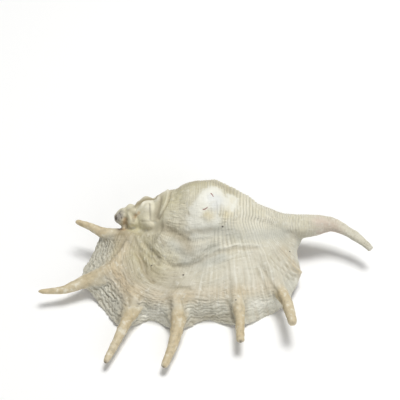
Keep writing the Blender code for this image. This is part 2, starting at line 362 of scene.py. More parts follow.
class ShapeGraph(Graph):
    """A Geometry Nodes tree that is written as expressions, with named inputs."""

    def __init__(self, name: str, inputs: dict[str, tuple[str, object]]) -> None:
        """Make the tree.

        Args:
            name: The tree's name.
            inputs: The socket type and the value of each input, by its name.
        """
        super().__init__(bpy.data.node_groups.new(name, "GeometryNodeTree"))
        sockets = self.tree.interface
        sockets.new_socket("Geometry", in_out="INPUT", socket_type="NodeSocketGeometry")
        sockets.new_socket("Geometry", in_out="OUTPUT", socket_type="NodeSocketGeometry")
        self.values = {}
        for label, (kind, value) in inputs.items():
            socket = sockets.new_socket(label, in_out="INPUT", socket_type=kind)
            self.values[socket.identifier] = value
        self.given = self.add("NodeGroupInput")

    def mark(self, mark: Mark) -> Signal:
        """A value that the mesh's points carry."""
        node = self.add("GeometryNodeInputNamedAttribute", {"data_type": "FLOAT"}, {"Name": mark.value})
        return self.number(node, "Attribute")

    def place(self) -> Socket:
        """Where each point is."""
        return self.add("GeometryNodeInputPosition").outputs["Position"]

    def given_number(self, label: str) -> Signal:
        """One of the tree's named inputs as a number."""
        return self.number(self.given, label)

    def noise(self, place: object, scale: Value, detail: float = 2.0, roughness: float = 0.5) -> Signal:
        """Soft noise, which the tree's seed turns into another.

        Args:
            place: Where the noise is read.
            scale: How fine it is.
            detail: How many finer noises lie in it.
            roughness: How strong those are.

        Returns:
            The noise between 0 and 1, mostly near 0.5.
        """
        sockets = {"Vector": place, "W": self.given_number("Seed"), "Scale": scale}
        sockets.update({"Detail": detail, "Roughness": roughness})
        return self.number(self.add("ShaderNodeTexNoise", {"noise_dimensions": "4D"}, sockets))

    def store(self, geometry: Socket, mark: Mark, value: Value) -> Socket:
        """Keep a value on the points of a geometry.

        Args:
            geometry: The geometry.
            mark: Which value it is.
            value: The value.

        Returns:
            The geometry with the value.
        """
        sockets = {"Geometry": geometry, "Name": mark.value, "Value": value}
        settings = {"data_type": "FLOAT", "domain": "POINT"}
        return self.add("GeometryNodeStoreNamedAttribute", settings, sockets).outputs[0]

    def finish(self, geometry: Socket) -> None:
        """End the tree in Realize Instances and Set Material.

        Args:
            geometry: What the tree has made.
        """
        real = self.add("GeometryNodeRealizeInstances", None, {"Geometry": geometry})
        sockets = {"Geometry": real.outputs[0], "Material": self.given.outputs["Material"]}
        dressed = self.add("GeometryNodeSetMaterial", None, sockets)
        self.add("NodeGroupOutput", None, {"Geometry": dressed.outputs[0]})

    def make(self, thing: bpy.types.Object) -> bpy.types.Mesh:
        """Run the tree on an object.

        Args:
            thing: The object, which keeps its own mesh.

        Returns:
            The result as a plain mesh.
        """
        modifier = thing.modifiers.new(self.tree.name, "NODES")
        modifier.node_group = self.tree
        for identifier, value in self.values.items():
            modifier[identifier] = value
        mesh = plain_mesh(thing)
        thing.modifiers.remove(modifier)
        return mesh


def plain_mesh(thing: bpy.types.Object) -> bpy.types.Mesh:
    """What an object's modifiers make of it, as a mesh of its own."""
    graph = bpy.context.evaluated_depsgraph_get()
    return bpy.data.meshes.new_from_object(thing.evaluated_get(graph), depsgraph=graph)


def new_object(name: str, data: bpy.types.ID) -> bpy.types.Object:
    """Put a new object in the scene.

    Args:
        name: Its name.
        data: The mesh, light or camera that it holds.

    Returns:
        The object.
    """
    thing = bpy.data.objects.new(name, data)
    bpy.context.scene.collection.objects.link(thing)
    return thing


def add_smoothing(thing: bpy.types.Object, times: int, group: str = "") -> None:
    """Add a modifier that smooths an object.

    Args:
        thing: The object.
        times: How many times it is smoothed.
        group: The vertex group that is smoothed, or nothing for all of it.
    """
    smooth = thing.modifiers.new("soften", "SMOOTH")
    smooth.factor = 0.5
    smooth.iterations = times
    smooth.vertex_group = group


def add_group(thing: bpy.types.Object, weights: np.ndarray) -> str:
    """Make a vertex group.

    Args:
        thing: The object.
        weights: A weight for each of its points, of which only a few differ.

    Returns:
        The group's name.
    """
    group = thing.vertex_groups.new(name="chosen")
    for weight in np.unique(weights[weights > 0]):
        group.add(np.flatnonzero(weights == weight).tolist(), float(weight), "REPLACE")
    return group.name


def places_of(mesh: bpy.types.Mesh) -> np.ndarray:
    """Read the points of a mesh.

    Args:
        mesh: The mesh.

    Returns:
        Their places in millimetres.
    """
    flat = np.empty(len(mesh.vertices) * 3, np.float32)
    mesh.vertices.foreach_get("co", flat)
    return flat.reshape(-1, 3).astype(float) / MM


def set_places(mesh: bpy.types.Mesh, places: np.ndarray) -> None:
    """Move the points of a mesh to places in millimetres."""
    mesh.vertices.foreach_set("co", (places * MM).astype(np.float32).ravel())
    mesh.update()


def set_mark(mesh: bpy.types.Mesh, mark: Mark, values: np.ndarray) -> None:
    """Keep one value on each point of a mesh."""
    attribute = mesh.attributes.new(mark.value, "FLOAT", "POINT")
    attribute.data.foreach_set("value", np.asarray(values, np.float32).ravel())


@dataclass(frozen=True)
class Rings:
    """Closed rings of points that a skin is laid over, with the values that their points carry."""

    points: np.ndarray
    marks: dict[Mark, np.ndarray]

    def faces(self, start: int) -> list[list[int]]:
        """The faces between the rings and over both ends.

        Args:
            start: The number of the first point.

        Returns:
            The numbers of each face's points.
        """
        count, size = self.points.shape[:2]
        ring = np.arange(size)
        before = np.roll(ring, 1)
        first = start + np.arange(count - 1)[:, None] * size
        sides = [first + before, first + ring, first + ring + size, first + before + size]
        quads = np.stack(sides, axis=-1).reshape(-1, 4).tolist()
        last = start + (count - 1) * size + ring
        return quads + [(start + ring)[::-1].tolist(), last.tolist()]


Steps = tuple[tuple[float, ...], tuple[float, ...]]


def strength(by_ray: Steps, by_row: Steps, ray: np.ndarray, row: np.ndarray) -> np.ndarray:
    """How strong a kind of relief is at places that are given by their ray and row."""
    return np.interp(ray, *by_ray) * np.interp(row, *by_row)


class Ray(NamedTuple):
    """A growth ray: the circle it follows over the whorl, and the points where it crosses the lip."""

    along: float
    centre: tuple[float, float]
    radius: float
    lip: tuple[Point, ...] = ()


class Fold(NamedTuple):
    """A ridge, or a crease where the height is negative, that follows points on the outside."""

    points: tuple[Point, ...]
    width: float
    height: float


LIP_RAYS = (
    Ray(-47, (1, 31), 14.5, ((-45, -10, 39), (-55, -8, 34), (-64, -6.5, 30), (-69, -6, 28.5))),
    Ray(-42.5, (1, 31), 17.8, ((-44, -18, 38), (-57, -19, 32), (-72, -17, 29), (-86, -12, 26))),
    Ray(-38.5, (1, 31), 21.4, ((-44, -27, 35), (-60, -29, 30), (-77, -30, 24), (-97.3, -28, 11))),
    Ray(-35, (1, 31), 24.1, ((-44, -33, 33.5), (-60, -37, 29), (-78, -39, 24), (-102.3, -37.5, 10))),
    Ray(-31.5, (1, 31), 26.2, ((-44, -40, 32), (-58, -45, 28), (-78, -48, 24), (-99, -53, 11))),
    Ray(-27, (0, 31), 28.2, ((-39, -49, 31), (-54, -58, 27), (-69, -62, 21), (-84, -70.5, 1.5))),
    Ray(-20, (0, 30), 31.8, ((-31, -53, 31), (-45, -65, 26), (-58, -74, 22), (-66, -91, 4.5))),
    Ray(-11, (0, 30), 34.5, ((-20, -54, 31), (-31, -69, 26), (-41, -79, 19), (-43, -83, 0.2))),
    Ray(-2, (0, 30), 36.2, ((-7, -52, 32), (-15, -69, 27), (-21, -79, 22), (-22, -94, 4.5))),
    Ray(8, (0, 30), 36.9, ((6, -44, 36), (4, -66, 28), (2, -79, 19), (2, -83, 0.2))),
    Ray(20, (0, 30), 31.5, ((24, -36, 37), (26, -58, 29), (27, -75, 22), (28, -90, 5))),
    Ray(33, (0, 30), 24.6, ((38, -33, 36), (44, -55, 28), (47, -72, 19), (52, -78.3, 0.2))),
    Ray(45, (-1, 29), 17.3, ((50, -30, 34), (56, -48, 29), (61, -65, 22), (67, -71, 8))),
    Ray(55, (-2, 27.5), 14.3, ((58, -28, 32), (66, -38, 28), (74, -44, 22), (81, -44, 11))),
    Ray(63, (-3, 26.5), 12.8, ((65, -21, 31), (71, -24, 27), (76, -25, 23), (80, -24, 16))),
    Ray(72, (-4, 26), 12.0, ((72, -15, 32), (76, -16, 28), (80, -15, 24), (84, -13, 19))),
)
CANAL_RAYS = (
    Ray(84, (-4.5, 27), 10.8),
    Ray(94, (-4.6, 28.5), 9.6),
    Ray(102, (-4.4, 29.2), 7.9),
    Ray(110, (-4.8, 29.5), 5.9),
    Ray(119, (-8.0, 27.7), 4.7),
    Ray(128, (-13.3, 25.0), 4.2),
    Ray(136, (-19.2, 22.7), 3.6),
    Ray(141.5, (-25.2, 20.9), 2.7),
)
FOLDS = (
    # The worn hump, and the back's second swell.
    Fold(((-1, -12, 67), (12, -13, 66)), 13, 4.8),
    Fold(((-14, 4, 62), (2, 6, 65)), 14, 1.4),
    # The valley below the hump.
    Fold(((-26, -28, 47), (-14, -34, 47), (0, -34, 51), (12, -32, 52)), 6, -2.2),
    Fold(((-40, -20, 42), (-30, -26, 46), (-22, -32, 45)), 5, -1.4),
    # Old lips: two creases with a swell between, and the ledge on the right.
    Fold(((-54, -16, 33), (-45, -40, 32), (-24, -53, 31), (-7, -51, 33), (9, -40, 39)), 4, -1.5),
    Fold(((-58, -23, 31), (-48, -52, 27), (-23, -69, 26), (9, -68, 26)), 3.5, -1.0),
    Fold(((12, -45, 36), (34, -38, 36), (58, -33, 31)), 6, 1.4),
    # The ridges that lead to the fingers.
    Fold(((-56, -21, 32), (-70, -18, 29), (-84, -13, 27)), 5, 1.6),
    Fold(((-60, -45, 28), (-76, -48, 24), (-96, -54, 14)), 6, 1.8),
    Fold(((-48, -62, 27), (-58, -72, 23), (-64, -86, 10)), 6, 2.2),
    Fold(((-17, -68, 28), (-22, -78, 23), (-22, -90, 9)), 6, 2.4),
    Fold(((25, -62, 28), (27, -74, 23), (29, -87, 9)), 5, 1.8),
    Fold(((50, -42, 32), (57, -56, 27), (65, -70, 14)), 5, 2.2),
    Fold(((58, -31, 32), (70, -42, 26), (80, -45, 14)), 4, 1.6),
    # The folds of the lip's edge between fingers.
    Fold(((-70, -56, 26), (-86, -64, 14)), 6, -1.5),
    Fold(((-48, -76, 23), (-52, -84, 12)), 5, -1.6),
    Fold(((-8, -78, 23), (-8, -88, 10)), 6, -1.2),
    Fold(((14, -76, 24), (15, -87, 10)), 6, -1.2),
)


@dataclass(frozen=True)
class LastWhorl:
    """The last whorl with its spread lip and its siphonal canal, lofted over growth rays."""

    rays: tuple[Ray, ...] = LIP_RAYS + CANAL_RAYS
    folds: tuple[Fold, ...] = FOLDS
    growth: float = 1.6
    canal_growth: float = 1.12
    circle_angles: tuple[float, ...] = (0, 35, 70, 105, 140, 175, 205, 228)
    canal_lip_angles: tuple[float, ...] = (246, 262, 276, 290)
    roof_wall: float = 5.0
    lip_wall: float = 7.0
    edge_wall: float = 4.6
    edge_bulge: float = 1.6
    lip_rows: tuple[float, float] = (6, 9)
    edge_rows: tuple[float, float] = (9.8, 11)
    hollow_end: float = 166.0
    pillar_angles: tuple[float, ...] = (180, 205, 230, 255, 280, 305, 330)
    groove_angles: tuple[float, ...] = (140, 110, 80, 50, 25, 0, -18)
    groove_share: float = 0.56
    groove_opens: tuple[float, float] = (48, 84)
    callus: tuple[float, float] = (-16, 14)
    callus_fade: float = 24.0
    callus_level: float = -0.7
    slender_width: float = 30.0
    thinnest_share: float = 0.3
    columns: int = 300
    rows: int = 200
    # How strong each kind of relief is, at places counted in rays and in rows.
    cords_by_ray: Steps = (
        (0, 4, 7, 8, 9, 10, 12, 13, 14, 16, 18, 20),
        (0.3, 0.6, 0.7, 0.8, 1, 1.1, 1.2, 1.8, 1.5, 0.9, 0.4, 0.3),
    )
    cords_by_row: Steps = (
        (0, 4, 7.8, 8.4, 9.1, 9.5, 10, 10.6),
        (0.8, 1.6, 1.6, 0.5, 0.5, 0.7, 0.7, 0.3),
    )
    wrinkles_by_ray: Steps = (
        (
            0.5, 1.2, 2.5, 3.5, 4, 4.5, 5, 5.6, 6, 6.4, 7, 7.6,
            8, 8.4, 9, 9.6, 10, 10.4, 11, 11.7, 12, 12.4, 13, 14,
        ),
        (
            0, 1.4, 1.5, 1.2, 0.3, 1.2, 1.4, 1.1, 0.25, 1.1, 1.4, 1.0,
            0.2, 1.1, 1.4, 0.9, 0.15, 0.6, 0.9, 0.6, 0.15, 0.5, 0.4, 0,
        ),
    )
    wrinkles_by_row: Steps = ((9.0, 9.8, 10.3, 11), (0, 0.4, 1, 1))
    lines_by_ray: Steps = ((0, 2, 6, 9, 12, 16, 20), (0.8, 1.2, 1.4, 0.8, 0.3, 0.2, 0.1))
    lines_by_row: Steps = ((4, 6, 8, 9, 11), (0.5, 0.9, 1, 1, 1))

    def frames(self) -> list[tuple[np.ndarray, np.ndarray, np.ndarray]]:
        """Find where each ray's circle lies.

        Returns:
            For each ray, its circle's middle and the directions to its back and to its top.
        """
        middles = np.array([(ray.along, *ray.centre) for ray in self.rays], float)
        forward = unit(np.gradient(middles, axis=0))
        back = unit(np.cross((0, 0, 1), forward))
        return list(zip(middles, back, np.cross(forward, back)))

    @staticmethod
    def circle(place: tuple, radii: Sequence[float], angles: Sequence[float]) -> np.ndarray:
        """Points round the middle of a ray's circle.

        Args:
            place: The circle's middle, and the directions to its back and to its top.
            radii: How far each point is from the middle.
            angles: The angle of each point, in degrees from the belly over the back.

        Returns:
            The points.
        """
        middle, back, top = place
        turn = np.radians(np.asarray(angles, float))
        radii = np.asarray(radii, float)
        return middle + (radii * np.sin(turn))[:, None] * back - (radii * np.cos(turn))[:, None] * top

    @staticmethod
    def spiral(radius: float, growth: float, angles: Sequence[float]) -> np.ndarray:
        """The radius at each angle, where the given radius is the one at the top."""
        return radius * growth ** ((np.asarray(angles, float) - 180) / 360)

    def let_down(self, point: np.ndarray) -> np.ndarray:
        """Lower a point of the belly to the worn callus, where it covers the belly.

        Args:
            point: The point.

        Returns:
            The point on the callus.
        """
        low, high = self.callus
        share = soft_step(point[0], low - self.callus_fade, low)
        share *= 1 - soft_step(point[0], high, high + self.callus_fade)
        drop = min(self.callus_level - point[2], 0)
        return point + np.array((0, 0, share * drop))

    def outer_net(self) -> np.ndarray:
        """Points that the outer surface passes through.

        Returns:
            The points by ray, and then by angle or lip row.
        """
        net = []
        for ray, place in zip(self.rays, self.frames()):
            growth = self.growth if ray.lip else self.canal_growth
            angles = self.circle_angles if ray.lip else self.circle_angles + self.canal_lip_angles
            wrapped = self.circle(place, self.spiral(ray.radius, growth, angles), angles)
            wrapped[0] = self.let_down(wrapped[0])
            net.append(np.concatenate([wrapped, np.array(ray.lip, float).reshape(-1, 3)]))
        return np.array(net)

    def hollow_net(self) -> np.ndarray:
        """Points on the pillar inside the mouth, and on the far wall of the canal's groove.

        Returns:
            The points by ray and then by angle.
        """
        pillar_angles = np.array(self.pillar_angles, float)
        groove_angles = np.array(self.groove_angles, float)
        net = []
        for ray, place in zip(self.rays, self.frames()):
            share = soft_step(np.array(float(ray.along)), *self.groove_opens)
            pillar = self.spiral(ray.radius, self.growth, pillar_angles - 360)
            groove = self.spiral(ray.radius, self.canal_growth, groove_angles) * self.groove_share
            angles = (1 - share) * pillar_angles + share * groove_angles
            net.append(self.circle(place, (1 - share) * pillar + share * groove, angles))
        return np.array(net)

    @staticmethod
    def sample(net: np.ndarray, columns: int, rows: int) -> np.ndarray:
        """A grid of points on the smooth surface through a net."""
        return evenly(evenly(net, columns).swapaxes(0, 1), rows).swapaxes(0, 1)

    def with_folds(self, grid: np.ndarray, normals: np.ndarray) -> np.ndarray:
        """Raise each fold along the surface's own direction.

        Args:
            grid: Points on the smooth surface.
            normals: The way that it faces at each.

        Returns:
            The points with the folds.
        """
        raised = grid.copy()
        for fold in self.folds:
            rise = fold.height * near_path(fold.points, fold.width, grid)
            raised += normals * rise[..., None]
        return raised

    def wall(self, row: np.ndarray, slender: np.ndarray) -> np.ndarray:
        """How thick the shell is.

        Args:
            row: The row of each point along a ring.
            slender: For each ring, 1 on the broad whorl and less on the slender canal.

        Returns:
            The thickness in millimetres, by ring and then by point.
        """
        thick = np.interp(soft_step(row, *self.lip_rows), (0, 1), (self.roof_wall, self.lip_wall))
        thick += (self.edge_wall - self.lip_wall) * soft_step(row, *self.edge_rows)
        return thick * (self.thinnest_share + (1 - self.thinnest_share) * slender[:, None])

    def rings(self) -> Rings:
        """Rings of points round the shell's wall.

        Returns:
            The rings, with each point's ray, row, side and strengths of relief.
        """
        smooth = self.sample(self.outer_net(), self.columns, self.rows)
        normals = unit(np.cross(np.gradient(smooth, axis=1), np.gradient(smooth, axis=0)))
        held = len(self.circle_angles)
        row = np.linspace(0, held + len(self.canal_lip_angles) - 1, self.rows)
        hollow = np.interp(row, range(held), self.circle_angles) >= self.hollow_end
        width = np.linalg.norm(smooth[:, 0] - smooth[:, self.rows // 2], axis=-1)
        slender = np.minimum(1, width / self.slender_width)
        outside = self.with_folds(smooth, normals)
        inside = (outside - normals * self.wall(row, slender)[..., None])[:, hollow][:, ::-1]
        outward = unit(smooth[:, -1:] - smooth[:, -3:-2])
        bulge = outward * self.edge_bulge * slender[:, None, None]
        edge = (outside[:, -1:] + inside[:, :1]) / 2 + bulge
        hollow_wall = self.sample(self.hollow_net(), self.columns, self.rows // 3)
        rows = np.concatenate([row, row[-1:], row[hollow][::-1], np.zeros(self.rows // 3)])
        side = np.concatenate([np.zeros(self.rows), [0.5], np.ones(hollow.sum() + self.rows // 3)])
        points = np.concatenate([outside, edge, inside, hollow_wall], axis=1)
        shape = points.shape[:2]
        ray = np.linspace(0, len(self.rays) - 1, self.columns)[:, None]
        marks = {
            Mark.RAY: ray,
            Mark.ROW: rows,
            Mark.INSIDE: side,
            Mark.CORDS: strength(self.cords_by_ray, self.cords_by_row, ray, rows),
            Mark.WRINKLES: strength(self.wrinkles_by_ray, self.wrinkles_by_row, ray, rows),
            Mark.LINES: strength(self.lines_by_ray, self.lines_by_row, ray, rows),
        }
        return Rings(points, {mark: np.broadcast_to(values, shape) for mark, values in marks.items()})


@dataclass(frozen=True)
class Spire:
    """The whorls of the spire, as an outline carried round the axis while it grows."""

    turns: tuple[tuple[float, float], ...] = (
        (-75.5, 3.4), (-71.5, 7.2), (-63.8, 11.0), (-50.5, 17.0), (-34.0, 23.8),
    )
    start_angle: float = 130.0
    end_turn: float = 3.97
    centre: tuple[float, float] = (1.5, 32.0)
    outline: tuple[tuple[float, float], ...] = (
        (0.08, -0.62), (0.62, -0.5), (0.78, -0.36), (0.93, -0.18), (1.0, 0.0),
        (1.0, 0.17), (0.96, 0.35), (0.85, 0.53), (0.08, 0.53),
    )
    keel_spread: float = 0.28
    knobs_per_turn: int = 7
    knob_phase: float = 60.0
    knob_height: float = 0.09
    step: float = 4.0
    outline_points: int = 60
    cover_from: tuple[float, float] = (-86, -82)
    cover_to: tuple[float, float] = (-33, -27)
    cover_margin: float = 3.0
    apex_margin: float = 5.0
    cover_fade: float = 2.0

    def rings(self) -> Rings:
        """Rings of points along the coil.

        Returns:
            The rings, which carry no marks.
        """
        outline = evenly(self.outline, self.outline_points)
        keel = np.exp(-((outline[:, 1] / self.keel_spread) ** 2))
        turned = np.arange(0, self.end_turn * 360, self.step)
        rings = []
        for degrees, (along, radius) in zip(turned, through(np.array(self.turns), turned / 360)):
            swing = math.cos(math.radians((degrees - self.knob_phase) * self.knobs_per_turn))
            radii = outline[:, 0] * radius * (1 + self.knob_height * keel * swing)
            turn = math.radians(self.start_angle + degrees)
            across = self.centre[0] + radii * math.sin(turn)
            up = self.centre[1] - radii * math.cos(turn)
            rings.append(np.stack([along + outline[:, 1] * radius, across, up], axis=-1))
        return Rings(np.array(rings), {})

    def cover(self, places: np.ndarray) -> np.ndarray:
        """Tell the spire from the rest.

        Args:
            places: Places in millimetres.

        Returns:
            1 for each place on the spire and 0 elsewhere.
        """
        along, reach = np.array(self.turns).T
        away = np.hypot(places[:, 1] - self.centre[0], places[:, 2] - self.centre[1])
        apex = reach[0] + self.apex_margin
        limit = np.interp(places[:, 0], along, reach + self.cover_margin, left=apex)
        near = soft_step(places[:, 0], *self.cover_from) * (1 - soft_step(places[:, 0], *self.cover_to))
        return near * (1 - soft_step(away, limit, limit + self.cover_fade))


class Finger(NamedTuple):
    """A finger of the lip: points down its middle, its radius at each, and the reach of its root."""

    points: tuple[Point, ...]
    radii: tuple[float, ...]
    root_reach: float = 0.0


@dataclass(frozen=True)
class Fingers:
    """The six fingers and the nub that grow from the lip's edge, each a tapering round tube."""

    fingers: tuple[Finger, ...] = (
        Finger(
            ((-62, -16, 28), (-74, -14, 27), (-86, -12, 28), (-97, -7.5, 30.5), (-110, -3, 32.5)),
            (4.0, 5.4, 4.8, 3.3, 2.2),
            5.5,
        ),
        Finger(
            ((-66, -46, 24), (-81, -49, 20), (-98, -54, 15), (-116, -62, 14), (-136, -65, 16)),
            (4.0, 6.2, 5.6, 3.4, 1.6),
            7.5,
        ),
        Finger(
            ((-51, -67, 20), (-57, -76, 17.5), (-61.5, -90, 12), (-68.5, -107, 9.5), (-76.3, -128, 9)),
            (4.5, 5.8, 4.9, 3.6, 2.2),
            7.5,
        ),
        Finger(
            ((-19, -71, 20.5), (-21, -82, 17), (-21.5, -97, 12), (-25, -113, 9.5), (-31.5, -131.8, 9)),
            (4.5, 6.6, 5.6, 3.9, 2.7),
            7.5,
        ),
        Finger(
            ((26, -66, 21), (27, -77, 19), (28.2, -90, 16), (28.0, -102, 15), (28.0, -113.4, 16)),
            (4.0, 5.6, 4.2, 3.6, 3.0),
            3.5,
        ),
        Finger(
            ((56, -54, 21.5), (60, -65, 20), (65, -78, 22), (67.5, -91, 23), (68.6, -103.4, 25.5)),
            (4.0, 5.7, 5.0, 4.2, 3.2),
            3.5,
        ),
        Finger(
            ((66, -41.5, 22), (70, -43, 20.5), (74, -44.5, 19), (78, -45.5, 17), (81.5, -46, 15.5)),
            (4.0, 4.4, 3.8, 2.8, 1.4),
        ),
    )
    shoulder_drop: float = 2.5
    shoulder_shares: tuple[float, ...] = (0, 0.35, 0.7, 1.0, 1.5)
    shoulder_spread: tuple[float, ...] = (1, 0.72, 0.42, 0.18, 0)
    shoulder_radii: tuple[float, ...] = (2.4, 3.2, 3.4, 3.2, 2.4)
    sides: int = 40
    rings: int = 90
    blunt_from: float = 0.955

    def graph(self) -> ShapeGraph:
        """The tree that lays a tube round each path, closed and blunt at its tip.

        Returns:
            The tree, ready to run on the paths.
        """
        graph = ShapeGraph("tubes along the fingers", {
            "Sides": ("NodeSocketInt", self.sides),
            "Rings": ("NodeSocketInt", self.rings),
            "Blunt From": ("NodeSocketFloat", self.blunt_from),
            "Material": ("NodeSocketMaterial", None),
        })
        path = graph.add("GeometryNodeMeshToCurve", None, {"Mesh": graph.given.outputs["Geometry"]})
        settings, sockets = {"spline_type": "CATMULL_ROM"}, {"Curve": path.outputs[0]}
        smooth = graph.add("GeometryNodeCurveSplineType", settings, sockets)
        sockets = {"Curve": smooth.outputs[0], "Count": graph.given_number("Rings")}
        even = graph.add("GeometryNodeResampleCurve", None, sockets)
        share = graph.number(graph.add("GeometryNodeSplineParameter"), "Factor")
        blunt = graph.given_number("Blunt From")
        tip = ((share - blunt) / (1.0 - blunt)).most(0.0).least(0.995)
        radius = graph.mark(Mark.TUBE_RADIUS) * (1.0 - tip * tip) ** 0.5
        sockets = {"Resolution": graph.given_number("Sides"), "Radius": 1.0}
        ring = graph.add("GeometryNodeCurvePrimitiveCircle", {"mode": "RADIUS"}, sockets)
        tube = graph.add("GeometryNodeCurveToMesh", None, {
            "Curve": even.outputs[0],
            "Profile Curve": ring.outputs[0],
            "Scale": radius,
            "Fill Caps": True,
        })
        graph.finish(tube.outputs[0])
        return graph

    def shoulders(self) -> list[Finger]:
        """Short tubes at both sides of each root, which spread the finger into the lip.

        Returns:
            Two tubes for each finger whose root has a reach.
        """
        shoulders = []
        for finger in self.fingers:
            if not finger.root_reach:
                continue
            points = np.array(finger.points, float)
            side = unit(np.cross(points[2] - points[1], (0, 0, 1)))
            middle = through(points, 1 + np.array(self.shoulder_shares))
            spread = np.array(self.shoulder_spread)[:, None] * finger.root_reach
            drop = np.array(self.shoulder_spread)[:, None] * (0, 0, self.shoulder_drop)
            for way in (-1, 1):
                path = middle + way * spread * side - drop
                shoulders.append(Finger(path, self.shoulder_radii))
        return shoulders

    def mesh(self) -> bpy.types.Mesh:
        """Lay the tubes of the fingers and of their shoulders.

        Returns:
            The tubes as one mesh.
        """
        paths = bpy.data.meshes.new("finger_paths")
        tubes = [*self.fingers, *self.shoulders()]
        points = np.array([tube.points for tube in tubes], float)
        count = points.shape[1]
        edges = [(k, k + 1) for k in range(points.shape[0] * count - 1) if (k + 1) % count]
        paths.from_pydata((points.reshape(-1, 3) * MM).tolist(), edges, [])
        set_mark(paths, Mark.TUBE_RADIUS, np.array([tube.radii for tube in tubes]) * MM)
        holder = new_object("finger_paths", paths)
        mesh = self.graph().make(holder)
        bpy.data.objects.remove(holder)
        return mesh


class Patch(NamedTuple):
    """A patch of another colour: the points it follows, and how wide it is."""

    points: tuple[Point, ...]
    width: float


